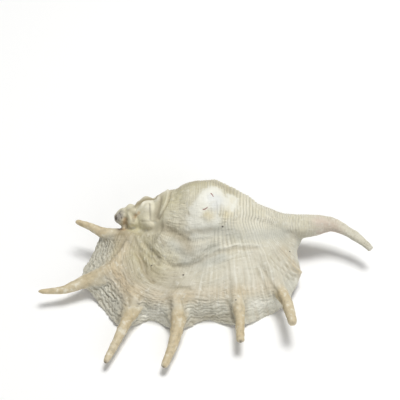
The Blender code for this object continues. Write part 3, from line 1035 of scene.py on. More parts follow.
PATCHES = {
    Mark.WORN: (
        Patch(((-6, -20, 64.5), (0, -14, 68), (8, -4, 70.5), (13, -8, 69)), 9),
        Patch(((-9, -26, 58), (-2, -28, 56), (7, -27, 58)), 8.5),
        Patch(((10, -8, 69), (20, -12, 62), (24, -4, 62)), 8),
    ),
    Mark.BARE: (Patch(((6, -12, 70), (11, -12, 69.5), (9, -18, 68.5)), 5.5),),
    Mark.YELLOW: (
        Patch(((18, -20, 60.5), (23, -18.5, 57.5), (20, -14, 63)), 4),
        Patch(((1.5, -23.5, 64.5), (5.5, -25.5, 63), (3, -26.5, 60.5)), 3),
        Patch(((24, -6, 61), (27, -3, 59)), 4),
    ),
    Mark.PEACH: (
        Patch(((-66, -20, 32), (-72, -38, 27), (-80, -47, 26)), 6),
        Patch(((-74, -48, 25), (-64, -66, 23), (-52, -74, 25)), 7),
        Patch(((-40, -74, 25), (-22, -76, 25), (25, -72, 25), (55, -66, 26)), 6),
        Patch(((66, -34, 29), (75, -42, 22), (82, -44, 12)), 6),
    ),
    Mark.OLIVE: (
        Patch(((-60, -14, 34), (-50, -34, 32), (-40, -48, 31)), 17),
        Patch(((-30, 0, 56), (-14, 8, 64), (4, 10, 68), (24, 8, 62)), 12),
        Patch(((-78, 0, 32), (-70, 0, 36)), 10),
        Patch(((-68, -24, 31), (-74, -36, 27)), 8),
    ),
    Mark.SLATE: (
        Patch(
            ((-26, -36, 42), (-19.5, -41.5, 40.5), (-11.5, -45, 38.5), (-3, -42, 41.5), (8, -40, 41)),
            6,
        ),
        Patch(((-15.5, -49, 34), (0.5, -48, 33), (14, -44, 35)), 6),
        Patch(((-9, -33, 49), (2, -33, 50), (12, -31, 52), (30, -30, 46)), 6),
        Patch(((38, -27, 43), (52, -22, 38), (66, -17, 34)), 7),
    ),
    # Painted light on steep parts of the margin that face away from the key light: between the third
    # and fourth fingers, and on the right between the fifth and sixth.
    Mark.PALE: (
        Patch(((-50, -84, 8), (-42, -85, 6), (-34, -88, 6)), 4.5),
        Patch(((-45, -81, 10), (-41, -81, 11), (-37, -82, 13)), 4),
        Patch(((42, -76, 14), (50, -76, 12), (60, -73, 12)), 5),
    ),
    # Mostly painted shade: under the hump and in the bends below it, in the hollow by the last suture,
    # below the spire and on the margin between the fourth and fifth fingers; a few patches, on the left
    # and at the top of the hump, are a darker brown tint.
    Mark.SHADED: (
        Patch(((-34, -22, 46), (-24, -27, 44), (-16, -32, 44), (-12, -42, 41)), 5),
        Patch(((-51, -46, 28.5), (-44, -60, 28)), 4),
        Patch(((-68, -15, 32), (-60, -17, 34), (-50, -19, 38), (-40, -20, 42)), 4),
        Patch(((-38, 10, 51), (-36, 2, 54), (-38, -5, 51), (-40, -11.5, 46)), 3.5),
        Patch(((-42, -54, 29), (-34, -59, 28), (-24, -58, 29)), 6),
        Patch(((-61, -4, 40), (-61, -9, 37)), 1.5),
        Patch(((-71.5, -13, 31), (-66, -16, 32), (-67, -23, 31)), 4),
        Patch(((-58.5, -3.5, 44), (-61, -2, 45), (-66, 2, 43)), 2),
        Patch(((-14, -90, 6), (-4, -87, 5), (8, -84, 5), (20, -84, 8)), 5),
        Patch(((-20, 14, 58), (-6, 16, 62), (8, 14, 66), (24, 10, 62)), 7),
        Patch(((-72, -22, 30), (-64, -22, 32), (-58, -26, 32)), 7),
        Patch(((-37, -29.5, 41.5), (-32.5, -36, 40.5)), 2),
        Patch(((-22, -26.5, 44.5), (-18, -30, 43.5), (-14, -34, 43)), 2.5),
    ),
    # Dark bronze that is partly painted shade: on the spire's back slope beyond the keel and under the
    # spire's foot.
    Mark.BRONZE: (
        Patch(
            (
                (-57, 4.5, 44), (-52, 7, 47), (-47, 8.5, 48),
                (-43, 9, 49), (-39, 11, 50.5), (-33, 14, 53),
            ),
            3.6,
        ),
        Patch(((-71, -16, 31), (-68, -17, 32)), 2.5),
    ),
    Mark.ROOT: (
        Patch(((-57, -73, 23), (-61, -84, 15), (-64, -92, 12)), 6),
        Patch(((-20, -78, 24), (-21, -88, 17), (-22, -98, 12)), 6),
        Patch(((27, -74, 24), (28, -84, 18), (28, -92, 16)), 5),
        Patch(((62, -69, 25), (66, -82, 22)), 5),
        Patch(((-74, -47, 26), (-84, -50, 22), (-94, -53, 17)), 6),
        Patch(((72, -42, 24), (78, -45, 18)), 5),
        Patch(((-72, -15, 31), (-84, -12, 29), (-94, -9, 30)), 5),
    ),
    Mark.PITTED: (Patch(((-75, -2, 34), (-72, -2, 38)), 5),),
    Mark.PINK: (Patch(((97, -7, 36), (110, -9, 33)), 6), Patch(((100, -14, 28), (112, -14, 28)), 6)),
    Mark.STAIN: (
        Patch(((-55, -4, 44.5), (-57, -4.5, 42.5), (-58.5, -6, 41)), 1.3),
        Patch(((-67, -5, 37), (-67.5, -6, 32.5)), 1.8),
        Patch(((-71, -10, 31), (-68.5, -10, 30)), 2.6),
    ),
    # Painted shade: thin dark lines in the cracks and along the last suture, and dark in the pits below
    # the spire; also dark dots at the tips of three fingers.
    Mark.DIRT: (
        Patch(((-72, -12, 31), (-70.5, -9, 30), (-72.5, -7, 30)), 2.0),
        Patch(
            ((-28.5, 8, 56), (-29, 1.5, 57.5), (-31, -5.5, 57.5), (-33, -10.5, 55), (-37, -13.5, 47)),
            0.6,
        ),
        Patch(((-46, 0.5, 50), (-45.5, -5.5, 48.5), (-45, -12, 44)), 0.55),
        Patch(((-59, -5, 42), (-59.5, -9, 39)), 0.7),
        Patch(((-67.5, -6.5, 33), (-66.5, -8.5, 30)), 1.1),
        Patch(((-76.5, -129, 10), (-76.5, -130, 9)), 1.3),
        Patch(((-32, -133, 10), (-32, -134.5, 9)), 1.3),
        Patch(((28, -115, 17), (28, -116.5, 15)), 1.3),
    ),
}
FINE_FOLDS = (
    # The spire: the keel line, the last suture with its lip, the hollow before it.
    Fold(
        (
            (-28.5, 12, 54.5), (-32, 10, 55), (-37.5, 8, 52), (-39, 4, 51.5), (-43, 4, 49.5),
            (-46.5, 3.5, 49.5), (-50, 3, 49.5), (-52.5, -0.5, 49), (-55.5, -2.5, 46), (-57, -4, 43.5),
        ),
        1.1, 1.8,
    ),
    Fold(
        ((-28, 12.5, 53.5), (-29.5, 0, 58), (-31.5, -7, 57), (-34.5, -12, 52.5), (-37.5, -13.5, 46.5)),
        1.1, -1.4,
    ),
    Fold(((-30, 11, 54), (-31, 0, 57), (-33, -6.5, 56), (-36, -11.5, 50.5)), 0.8, 0.6),
    # What fills the notches between the knobs, seen against the light.
    Fold(((-56, 8, 43), (-57, 3.5, 43), (-58, -1, 43.5)), 2.2, 1.2),
    Fold(((-69, 5, 38), (-68.5, 1, 39), (-68, -2, 38.5)), 1.8, 1.3),
    Fold(((-40, 12, 48), (-40.5, 8, 50)), 2.5, 1.0),
    Fold(((-37, 3, 52.5), (-37.5, -5, 52), (-39.5, -11.5, 47)), 2.4, -1.3),
    # The great knob's foot and its crack, and the smaller knobs' lines and pits.
    Fold(((-53, -10.5, 40.5), (-47.5, -13, 43.5), (-42.5, -13, 43)), 0.9, -0.7),
    Fold(((-46, 0.5, 50), (-45.5, -5.5, 48.5), (-45, -12, 44)), 0.7, -0.5),
    Fold(((-63.5, -3.5, 41.5), (-61.5, -7, 39), (-62.5, -9.5, 35)), 1.6, 1.0),
    Fold(((-66, -5, 37.5), (-67, -6, 34), (-66.5, -8, 30.5)), 1.3, -1.5),
    Fold(((-59, -5, 42), (-59.5, -9.5, 38.5)), 0.9, -1.0),
    # The hump's foot, the bend below it and the swell under that.
    Fold(
        (
            (-36, -20, 45.5), (-25.5, -25.5, 44), (-20.5, -28.5, 43.5),
            (-16.5, -32, 43.5), (-13, -40, 42),
        ),
        4.5, -0.9,
    ),
    Fold(
        ((-13, -31, 48.5), (-8.5, -30, 51.5), (-5, -30, 50), (0, -29.5, 51), (5.5, -29, 53)),
        2.2, -0.5,
    ),
    Fold(((-11, -34.5, 47.5), (-2, -34.5, 48.5), (6, -34, 49)), 2.0, 0.6),
    # Arcs of older lips between the spire's foot and the left lobes.
    Fold(((-59.5, -20, 33), (-54.5, -30, 30.5), (-46.5, -39, 29.5), (-37.5, -48.5, 31)), 1.3, -0.7),
    Fold(((-56.5, -16, 32.5), (-49.5, -28, 31), (-42, -37, 32.5), (-36, -43.5, 32.5)), 1.2, -0.3),
    Fold(((-64, -23.5, 31.5), (-58.5, -33, 29), (-52, -41, 27), (-44, -51, 28.5)), 1.3, -0.6),
    Fold(((-53, -15.5, 33), (-46, -27, 33.5), (-38.5, -37.5, 36)), 1.4, 0.4),
    # Old lips.
    Fold(((-51, -26.5, 31.5), (-45, -33.5, 31.5), (-39.5, -42.5, 32.5)), 1.6, -0.4),
    Fold(
        (
            (-39.5, -42.5, 32.5), (-29, -50, 32), (-22, -51, 31.5),
            (-15.5, -51.5, 31), (-8.5, -50, 32), (3.5, -44, 35),
        ),
        1.8, -0.6,
    ),
    Fold(
        (
            (-55, -33, 30), (-52.5, -40.5, 29), (-50, -48.5, 28),
            (-46.5, -56.5, 28.5), (-42, -62.5, 27.5),
        ),
        2.2, -1.7,
    ),
    Fold(
        ((-42, -62.5, 27.5), (-36, -66, 26), (-32, -67.5, 26), (-25, -69, 26), (-12, -70, 26)),
        1.6, -0.9,
    ),
    # The glossy swell and the grooves beside it, above the fifth finger.
    Fold(((20, -48, 33), (20.5, -58.5, 29.5), (20.5, -77, 20.5)), 0.9, -0.4),
    Fold(((23.5, -50, 31.5), (25, -61, 30), (26, -73, 26)), 2.6, 0.5),
    # The ragged ledge of an old lip, with the step below it.
    Fold(
        (
            (17, -37.5, 39), (21, -36.5, 38.5), (26, -34, 38.5),
            (32, -34, 37.5), (38, -32.5, 37), (46, -33, 35.5),
        ),
        1.1, 0.8,
    ),
    Fold(
        (
            (6, -44, 35.5), (11, -41.5, 37), (18, -40, 37.5),
            (24, -37.5, 37), (32, -36.5, 36.5), (44, -35, 35),
        ),
        1.5, -0.7,
    ),
    Fold(((3.5, -43.5, 35.5), (10.5, -39.5, 38.5), (17, -38, 39)), 1.6, 0.5),
    # The arcs that fan out above the nub and the sixth finger.
    Fold(((53, -45.5, 32.5), (59, -51.5, 29), (68.5, -55.5, 22), (75, -53, 15.5)), 1.1, -0.6),
    Fold(((55, -42, 32), (61, -48, 28.6), (70, -51.5, 22.8), (76.5, -50, 16.5)), 1.0, -0.7),
    Fold(((57.5, -38.5, 31.5), (63.5, -44, 28), (71, -47.5, 23.5), (78, -46.5, 17.5)), 1.1, -0.6),
    Fold(((62, -33, 31), (69, -38, 27), (76, -40, 21)), 1.1, -0.5),
    Fold(((42.5, -52, 29), (47, -62, 25), (52.5, -72, 17.5)), 1.2, -0.7),
    Fold(((46, -49, 30), (51, -58, 27), (56, -67, 23)), 1.2, -0.6),
    # Crests on the left lobes, and the knobs and folds at the roots of the third and fourth fingers.
    Fold(((-62, -20.5, 32), (-68, -30, 29), (-73, -40, 27), (-80, -47, 26)), 2.4, 1.0),
    Fold(((-66, -23, 29), (-73, -31, 26), (-78.5, -39, 24)), 1.8, -0.9),
    Fold(((-78, -54.5, 21.5), (-71, -62, 18), (-61.5, -79.5, 21)), 2.0, 1.0),
    Fold(((-58, -75, 24), (-56, -78, 23.5)), 2.4, 1.3),
    Fold(((-54.5, -77.5, 23), (-52, -78.5, 20), (-50, -77, 18.5)), 1.3, 0.9),
    Fold(((-60, -79, 21), (-59.5, -82, 19)), 1.3, -1.0),
    Fold(((-24.5, -78, 25), (-23, -84, 24)), 2.6, 0.9),
    Fold(((-18, -79, 24), (-15, -85, 19), (-15, -90, 12)), 1.6, -0.8),
    Fold(((34, -78, 20), (35, -84, 13), (36, -87, 7)), 1.6, -0.8),
    # The hollows along the left side of the fingers' roots.
    Fold(((-66, -82, 14), (-68.5, -85, 10), (-70.5, -87.5, 5.5)), 1.6, -1.2),
    Fold(((-29, -80, 21.5), (-28, -88, 18), (-27.5, -96, 12)), 2.2, -0.8),
    Fold(((19, -78, 18.5), (21.5, -83.5, 12), (24, -88.5, 7)), 1.8, -1.2),
    Fold(((56, -69, 26), (58.5, -75, 23), (61, -82, 22)), 1.8, -1.2),
    # Small dents left of the hump.
    Fold(((-13, -19, 61.5), (-13, -21.5, 59)), 0.9, -0.6),
    Fold(((-21, -23.5, 52), (-21, -25.5, 50)), 0.9, -0.6),
)


class ReliefGraph(ShapeGraph):
    """The tree that raises the growth relief on a skin. Its heights are in millimetres."""

    # Where each test turns from 0 to 1: in rows, in millimetres off the loft, in metres above the
    # table, or as the cosine between two directions.
    LIP_EDGE_ROWS = (10.7, 10.4)
    UNDER_ROOT_AWAY = (9.0, 7.0)
    SKIN_AWAY = (3.0, 1.8)
    FINGER_AWAY = (0.8, 3.5)
    BACK_LEVEL = (0.034, 0.038)
    FACES_UP = (0.1, 0.3)
    FACES_AS_LOFT = (-0.3, 0.1)
    WORN = (0.2, 0.7)
    GROUPED_CORDS = (0.3, 0.65)

    def build(self) -> None:
        """Mark the skin's points, work out the relief and move them."""
        normal = self.add("GeometryNodeInputNormal").outputs["Normal"]
        skin = self.with_sides(normal)
        skin = self.store(skin, Mark.CORD_WAVE, self.cords() * (1.0 - self.finger()))
        skin = self.store(skin, Mark.GROOVE, 0.0 - self.grown())
        skin = self.store(skin, Mark.HEIGHT, self.height())
        offset = self.scaled(normal, self.mark(Mark.HEIGHT) * MM)
        moved = self.add("GeometryNodeSetPosition", None, {"Geometry": skin, "Offset": offset})
        self.finish(moved.outputs[0])

    def with_sides(self, normal: Socket) -> Socket:
        """The skin with what the loft says of each point, and with its inside told from its outside.

        Args:
            normal: The way that the skin faces.

        Returns:
            The marked skin.
        """
        guide = self.add("GeometryNodeObjectInfo", None, {"Object": self.given.outputs["Whorl"]})
        loft = guide.outputs["Geometry"]
        skin = self.given.outputs["Geometry"]
        for mark in LOFT_MARKS:
            value = self.number(self.nearest(loft, "FLOAT", self.mark(mark)))
            skin = self.store(skin, mark, value)
        near = self.add("GeometryNodeProximity", {"target_element": "FACES"}, {"Target": loft})
        skin = self.store(skin, Mark.AWAY, self.number(near, "Distance") / MM)
        loft_normal = self.nearest(loft, "FLOAT_VECTOR", normal).outputs[0]
        agree = self.measure("DOT_PRODUCT", loft_normal, normal).step(*self.FACES_AS_LOFT)
        away = self.mark(Mark.AWAY)
        under_root = self.mark(Mark.ROW).step(*self.LIP_EDGE_ROWS) * away.step(*self.UNDER_ROOT_AWAY)
        close = away.step(*self.SKIN_AWAY).most(under_root) * (1.0 - self.mark(Mark.SPIRE))
        high = self.height_of(self.place()).step(*self.BACK_LEVEL)
        not_back = 1.0 - high * self.height_of(normal).step(*self.FACES_UP)
        return self.store(skin, Mark.INSIDE, self.mark(Mark.INSIDE) * agree * close * not_back)

    def nearest(self, loft: Socket, kind: str, value: object) -> bpy.types.Node:
        """A value of the loft at the place on it that is nearest to each point."""
        sockets = {"Mesh": loft, "Value": value}
        return self.add("GeometryNodeSampleNearestSurface", {"data_type": kind}, sockets)

    def height(self) -> Signal:
        """How far the relief stands out at a place.

        Returns:
            The height in millimetres.
        """
        spire, finger = self.mark(Mark.SPIRE), self.finger()
        swells = self.noise_height("Swell", 2.0) * (1.0 - spire) * (1.0 - finger)
        lumps = self.noise_height("Lump", 3.0) * (finger + spire * 0.35)
        outside = 1.0 - self.mark(Mark.INSIDE).step(0.0, 0.5)
        return (swells + lumps - self.mark(Mark.GROOVE)) * outside

    def noise_height(self, kind: str, detail: float) -> Signal:
        """Noise about zero, at the scale and the height that the tree has for a kind of relief."""
        noise = self.noise(self.place(), self.given_number(f"{kind} Scale"), detail)
        return (noise - 0.5) * self.given_number(f"{kind} Height")

    def finger(self) -> Signal:
        """1 on the fingers and 0 on the whorl."""
        return self.mark(Mark.AWAY).step(*self.FINGER_AWAY) * (1.0 - self.mark(Mark.SPIRE))

    def grown(self) -> Signal:
        """The cords, lines and wrinkles of the whorl, which wear takes off the hump.

        Returns:
            Their height in millimetres.
        """
        worn = self.mark(Mark.WORN).step(*self.WORN)
        cords = self.mark(Mark.CORD_WAVE) * (1.0 - worn)
        grown = cords + self.lines() * (1.0 - worn * 0.8) + self.wrinkles()
        return grown * (1.0 - self.mark(Mark.SPIRE)) * (1.0 - self.finger())

    def cords(self) -> Signal:
        """The spiral cords, which run along the growth rays in uneven groups.

        Returns:
            Their height in millimetres.
        """
        ray, row = self.mark(Mark.RAY), self.mark(Mark.ROW)
        wander = self.noise(self.join(ray, row), 0.7) - 0.5
        wave = ((ray + wander * 0.35) * self.given_number("Cords Per Ray") * (2 * math.pi)).sine()
        group = self.noise(self.join(ray * 2.3, row * 0.5), 1.0).step(*self.GROUPED_CORDS)
        return wave * (group * 0.8 + 0.35) * self.mark(Mark.CORDS) * self.given_number("Cord Height")

    def lines(self) -> Signal:
        """The growth lines, which keep to the lip's margin and break off unevenly.

        Returns:
            Their height in millimetres.
        """
        ray, row = self.mark(Mark.RAY), self.mark(Mark.ROW)
        along = self.join(ray * 1.5, row * self.given_number("Lines Per Row"))
        ragged = self.noise(along, 1.0, 3.0, 0.6) - 0.5
        return ragged * self.mark(Mark.LINES) * self.given_number("Line Height")

    def wrinkles(self) -> Signal:
        """The wrinkles of the margin between the fingers, with sharp bottoms and round tops.

        Returns:
            Their height in millimetres.
        """
        ray, row = self.mark(Mark.RAY), self.mark(Mark.ROW)
        bends = self.noise(self.join(ray * 3.6, row * 2.4), 1.0) - 0.5
        turn = row * self.given_number("Wrinkles Per Row") + bends * 3.6
        wave = (turn * math.pi).sine().size() - 0.6
        uneven = self.noise(self.join(ray * 3.0, row * 4.0), 1.0) + 0.5
        height = self.given_number("Wrinkle Height") * 2.0
        return wave * uneven * self.mark(Mark.WRINKLES) * height


@dataclass(frozen=True)
class Relief:
    """What growth left on the outside: spiral cords, growth lines, margin wrinkles and low swells.

    Each field becomes a named input of the tree. Heights are in millimetres, and the scales are those
    of noise on places in metres.
    """

    cords_per_ray: float = 5.0
    cord_height: float = 0.2
    lines_per_row: float = 9.0
    line_height: float = 2.4
    wrinkles_per_row: float = 6.5
    wrinkle_height: float = 0.5
    swell_height: float = 3.2
    swell_scale: float = 70.0
    lump_height: float = 2.0
    lump_scale: float = 190.0
    seed: float = 4.0

    def graph(self, whorl: bpy.types.Object, finish: bpy.types.Material) -> ReliefGraph:
        """The tree that raises the relief on a skin.

        Args:
            whorl: The loft that carries each place's ray, row and strength of relief.
            finish: The skin's material.

        Returns:
            The tree, ready to run on the skin.
        """
        inputs = {"Whorl": ("NodeSocketObject", whorl), "Material": ("NodeSocketMaterial", finish)}
        for name, value in asdict(self).items():
            inputs[name.replace("_", " ").title()] = ("NodeSocketFloat", value)
        graph = ReliefGraph("growth relief", inputs)
        graph.build()
        return graph


Colour = tuple[float, float, float, float]
Layers = list[tuple[Value, Colour]]


class SkinGraph(Graph):
    """The skin's material tree, with the parts of the shell and the noises that its colours follow."""

    # Where each part begins: in rays, in rows or in millimetres off the whorl.
    FINGER_AWAY = (0.3, 5.0)
    LEFT_RAYS = (3.0, 10.0)
    LIP_ROWS = (7.2, 8.6)
    MARGIN_ROWS = (9.7, 10.5)
    MOUTH_ROWS = (6.0, 10.5)
    INSIDE = (0.25, 0.75)

    def __init__(self, tree: bpy.types.NodeTree, blotch_scale: float, fleck_scale: float) -> None:
        """Find the parts, each 1 where it is and 0 elsewhere, and make the noises.

        Args:
            tree: The material's node tree.
            blotch_scale: How fine the broad noise is.
            fleck_scale: How fine the small noise is.
        """
        super().__init__(tree)
        self.place = self.add("ShaderNodeTexCoord").outputs["Object"]
        self.ray, self.row = self.mark(Mark.RAY), self.mark(Mark.ROW)
        off_spire = 1.0 - self.mark(Mark.SPIRE)
        self.inside = self.mark(Mark.INSIDE).step(*self.INSIDE)
        self.finger = self.mark(Mark.AWAY).step(*self.FINGER_AWAY) * off_spire
        self.whorl = (1.0 - self.finger) * off_spire
        self.left = (1.0 - self.ray.step(*self.LEFT_RAYS)) * self.whorl
        self.lip = self.row.step(*self.LIP_ROWS) * self.whorl
        self.margin = self.row.step(*self.MARGIN_ROWS) * self.whorl
        self.blotch = self.noise(self.place, blotch_scale, 3.0)
        self.fleck = self.noise(self.place, fleck_scale, 3.0)


@dataclass(frozen=True)
class ShellFinish:
    """The chalky outside and the porcelain inside of a dry shell."""

    cream: Colour = (0.74, 0.70, 0.56, 1)
    white: Colour = (0.86, 0.85, 0.76, 1)
    olive: Colour = (0.57, 0.52, 0.32, 1)
    lip: Colour = (0.49, 0.465, 0.385, 1)
    sand: Colour = (0.46, 0.39, 0.265, 1)
    peach: Colour = (0.62, 0.505, 0.335, 1)
    grey: Colour = (0.63, 0.62, 0.53, 1)
    slate: Colour = (0.47, 0.475, 0.42, 1)
    tan: Colour = (0.56, 0.46, 0.285, 1)
    worn: Colour = (0.87, 0.86, 0.76, 1)
    bare: Colour = (0.66, 0.68, 0.68, 1)
    cord_shade: Colour = (0.47, 0.46, 0.39, 1)
    bronze: Colour = (0.29, 0.23, 0.12, 1)
    chalk_grey: Colour = (0.42, 0.39, 0.35, 1)
    pink: Colour = (0.72, 0.57, 0.48, 1)
    stain: Colour = (0.72, 0.62, 0.38, 1)
    orange: Colour = (0.50, 0.28, 0.10, 1)
    # Dark brown, used for painted shade and for darker flecks, arcs and tints.
    shade: Colour = (0.36, 0.31, 0.21, 1)
    dark: Colour = (0.12, 0.10, 0.08, 1)
    mark_red: Colour = (0.26, 0.10, 0.08, 1)
    porcelain: Colour = (0.86, 0.80, 0.71, 1)
    porcelain_deep: Colour = (0.80, 0.60, 0.44, 1)
    blotch_scale: float = 55.0
    fleck_scale: float = 260.0
    rough_outside: float = 0.54
    rough_inside: float = 0.2
    rough_grain: float = 0.3
    grain_scale: float = 900.0
    polish: float = 0.12
    coat_inside: float = 0.35
    coat_roughness: float = 0.12
    refraction: float = 1.5
    speck_size: float = 0.7
    red_width: float = 0.4
    red_points: int = 7
    specks: tuple[Point, ...] = (
        (15, -27, 53), (-43, -49, 30), (17, 6, 63), (-17, -58, 29), (72, -31, 26), (25, -79, 24),
    )
    red_marks: tuple[tuple[Point, ...], ...] = (
        ((5.5, -7, 71), (6.3, -8, 71), (7.3, -10, 70.6)),
        ((-0.8, -20.3, 66.3), (0.8, -20.3, 66.8), (2.4, -19.2, 67.4)),
    )

    def material(self) -> bpy.types.Material:
        """Build the material.

        Returns:
            The material, which reads the marks of the skin's points.
        """
        material = bpy.data.materials.new("dry_shell")
        material.use_nodes = True
        graph = SkinGraph(material.node_tree, self.blotch_scale, self.fleck_scale)
        inside = graph.inside
        grain = graph.noise(graph.place, self.grain_scale, 3.0) - 0.5
        rough = self.rough_outside - graph.mark(Mark.WORN) * self.polish + grain * self.rough_grain
        sockets = {
            "Base Color": graph.mix(inside, self.outer_colour(graph), self.inner_colour(graph)),
            "Roughness": rough * (1.0 - inside) + inside * self.rough_inside,
            "Coat Weight": inside * self.coat_inside,
            "Coat Roughness": self.coat_roughness,
            "IOR": self.refraction,
            "Normal": self.fine_relief(graph),
        }
        shader = graph.add("ShaderNodeBsdfPrincipled", None, sockets)
        graph.add("ShaderNodeOutputMaterial", None, {"Surface": shader.outputs[0]})
        return material

    def outer_colour(self, graph: SkinGraph) -> Socket:
        """The chalky outside: cream, with the other colours laid over it one by one.

        Args:
            graph: The material's tree.

        Returns:
            The colour.
        """
        colour = self.cream
        for layers in (self.ground, self.fingers_and_canal, self.growth, self.wear, self.hollows):
            for cover, over in layers(graph):
                colour = graph.mix(cover, colour, over)
        colour = graph.mix(self.spots(graph, self.specks, self.speck_size), colour, self.dark)
        red = np.concatenate([evenly(path, self.red_points) for path in self.red_marks])
        return graph.mix(self.spots(graph, red, self.red_width), colour, self.mark_red)

    def ground(self, graph: SkinGraph) -> Layers:
        """The broad colours of the back, the lip and its margin, with painted light on parts of the
        margin.

        Args:
            graph: The material's tree.

        Returns:
            How much each layer covers, and its colour, from the lowest up.
        """
        left, blotch, peach = graph.left, graph.blotch, graph.mark(Mark.PEACH)
        return [
            (blotch.step(0.35, 0.7) * 0.4, self.olive),
            (graph.lip * (0.5 + left * 0.35), self.lip),
            (graph.lip * left * (0.3 + blotch * 0.5), self.sand),
            (graph.mark(Mark.OLIVE) * (0.45 + blotch * 0.7).least(1.0), self.olive),
            (graph.margin * (1.0 - peach * 0.7) * 0.75, self.grey),
            # Painted light on parts of the margin.
            (graph.mark(Mark.PALE) * 0.8, self.white),
            (peach * (blotch + left * 0.4 - 0.1), self.peach),
        ]

    def fingers_and_canal(self, graph: SkinGraph) -> Layers:
        """The mottled tan of the fingers and their roots, and the pink of the canal.

        Args:
            graph: The material's tree.

        Returns:
            How much each layer covers, and its colour, from the lowest up.
        """
        tanned = graph.finger.most(graph.mark(Mark.ROOT) * 0.7)
        return [
            (tanned * (0.3 + graph.blotch * 1.1).least(1.0), self.tan),
            (tanned * graph.fleck.step(0.5, 0.62) * 0.3, self.cream),
            (tanned * graph.fleck.step(0.46, 0.32) * 0.45, self.shade),
            (graph.mark(Mark.PINK) * 0.6, self.pink),
        ]

    def growth(self, graph: SkinGraph) -> Layers:
        """The streaks along the rays, the cords' stripes of painted shade and highlight, and the arcs
        of older lips.

        Args:
            graph: The material's tree.

        Returns:
            How much each layer covers, and its colour, from the lowest up.
        """
        ray, row, whorl, left = graph.ray, graph.row, graph.whorl, graph.left
        streak = graph.noise(graph.join(ray * 9.0, row * 0.7), 1.0)
        band = graph.noise(graph.join(ray * 0.5, row * 5.0), 1.0)
        arcs = graph.noise(graph.join(ray * 1.1, row * 17.0), 1.0)
        cord = graph.mark(Mark.CORD_WAVE)
        return [
            (streak.step(0.5, 0.72) * whorl * ray.step(5.0, 9.0) * 0.35, self.white),
            (streak.step(0.46, 0.3) * whorl * ray.step(6.0, 10.0) * 0.3, self.sand),
            # Painted shade in the cords' hollows and painted highlight on their tops, from the cords'
            # own relief.
            (cord.step(-0.02, -0.22) * whorl * 0.5, self.cord_shade),
            (cord.step(0.03, 0.25) * whorl * 0.3, self.white),
            (band.step(0.5, 0.7) * whorl * 0.3, self.grey),
            (arcs.step(0.47, 0.33) * left * 0.55, self.shade),
            (arcs.step(0.53, 0.68) * left * 0.45, self.cream),
            (graph.fleck.step(0.56, 0.7) * 0.35, self.white),
        ]

    def wear(self, graph: SkinGraph) -> Layers:
        """The worn white of the hump with its bare core and its yellow stains.

        Args:
            graph: The material's tree.

        Returns:
            How much each layer covers, and its colour, from the lowest up.
        """
        ragged = (graph.blotch - 0.5) * 0.6 + (graph.fleck - 0.5) * 0.6
        return [
            ((graph.mark(Mark.WORN) + ragged).step(0.3, 0.85) * 0.85, self.worn),
            (graph.mark(Mark.BARE) * 0.65, self.bare),
            (graph.mark(Mark.YELLOW) * graph.blotch.step(0.45, 0.6) * 0.5, self.stain),
        ]

    def hollows(self, graph: SkinGraph) -> Layers:
        """Painted shade in the grooves, creases and cracks, painted highlight on the crests, and the
        spire's stains and pits.

        Args:
            graph: The material's tree.

        Returns:
            How much each layer covers, and its colour, from the lowest up.
        """
        blotch, pitted = graph.blotch, graph.mark(Mark.PITTED)
        return [
            # Painted shade: darker where the growth relief sinks into grooves.
            (graph.mark(Mark.GROOVE).step(0.0, 0.7) * 0.3, self.shade),
            (graph.mark(Mark.SLATE) * (0.35 + blotch * 0.5), self.slate),
            # Painted shade in the creases of the fine folds.
            (graph.mark(Mark.CREASE).least(1.0) * 0.5, self.shade),
            # Painted highlight on the crests of the fine folds.
            (graph.mark(Mark.CREST).least(1.0) * 0.4, self.white),
            # Dark bronze, partly painted shade, beyond the spire's keel and under its foot.
            (graph.mark(Mark.BRONZE) * 0.85, self.bronze),
            (pitted, self.chalk_grey),
            (pitted * graph.fleck.step(0.52, 0.42), self.dark),
            # Painted shade, and in a few places a darker brown tint, over the patches.
            (graph.mark(Mark.SHADED) * (0.15 + blotch * 0.5), self.shade),
            (graph.mark(Mark.STAIN) * 0.6, self.orange),
            # Painted shade in the cracks, the suture and the pits, and the dark dots at the fingers'
            # tips.
            (graph.mark(Mark.DIRT) * 0.85, self.dark),
        ]

    @staticmethod
    def spots(graph: SkinGraph, centres: Sequence[Point], size: float) -> Signal:
        """Small round spots.

        Args:
            graph: The material's tree.
            centres: The spots' middles in millimetres.
            size: About how far a spot reaches from its middle, in millimetres.

        Returns:
            1 on the spots and 0 elsewhere.
        """
        middles = [tuple(value * MM for value in centre) for centre in centres]
        away = reduce(Signal.least, [graph.measure("DISTANCE", graph.place, spot) for spot in middles])
        return away.step(size * MM * 1.5, size * MM * 0.8)

    def inner_colour(self, graph: SkinGraph) -> Socket:
        """Porcelain, near white at the lip's edge and warm deeper in."""
        deep = 1.0 - graph.row.step(*graph.MOUTH_ROWS)
        return graph.mix(deep, self.porcelain, self.porcelain_deep)

    def fine_relief(self, graph: SkinGraph) -> Socket:
        """The fine lines and the chalky grain that are too small for the mesh.

        Args:
            graph: The material's tree.

        Returns:
            The normal.
        """
        ray, row, place = graph.ray, graph.row, graph.place
        on_whorl = (1.0 - graph.mark(Mark.SPIRE)) * (1.0 - graph.mark(Mark.AWAY).step(0.6, 3.0))
        fine_cords = graph.noise(graph.join(ray * 14.0, row * 0.8), 1.0)
        fine_lines = graph.noise(graph.join(ray * 1.4, row * 22.0), 1.0)
        grain = graph.noise(place, 700.0, 4.0, 0.6)
        chalk = graph.noise(place, 240.0, 3.0, 0.6)
        growth = on_whorl * (fine_cords * 0.35 + fine_lines * 0.45)
        height = (1.0 - graph.inside) * (growth + grain * 0.12 + chalk * 0.5)
        sockets = {"Height": height * MM, "Distance": 1.0, "Strength": 1.0}
        return graph.add("ShaderNodeBump", None, sockets).outputs["Normal"]


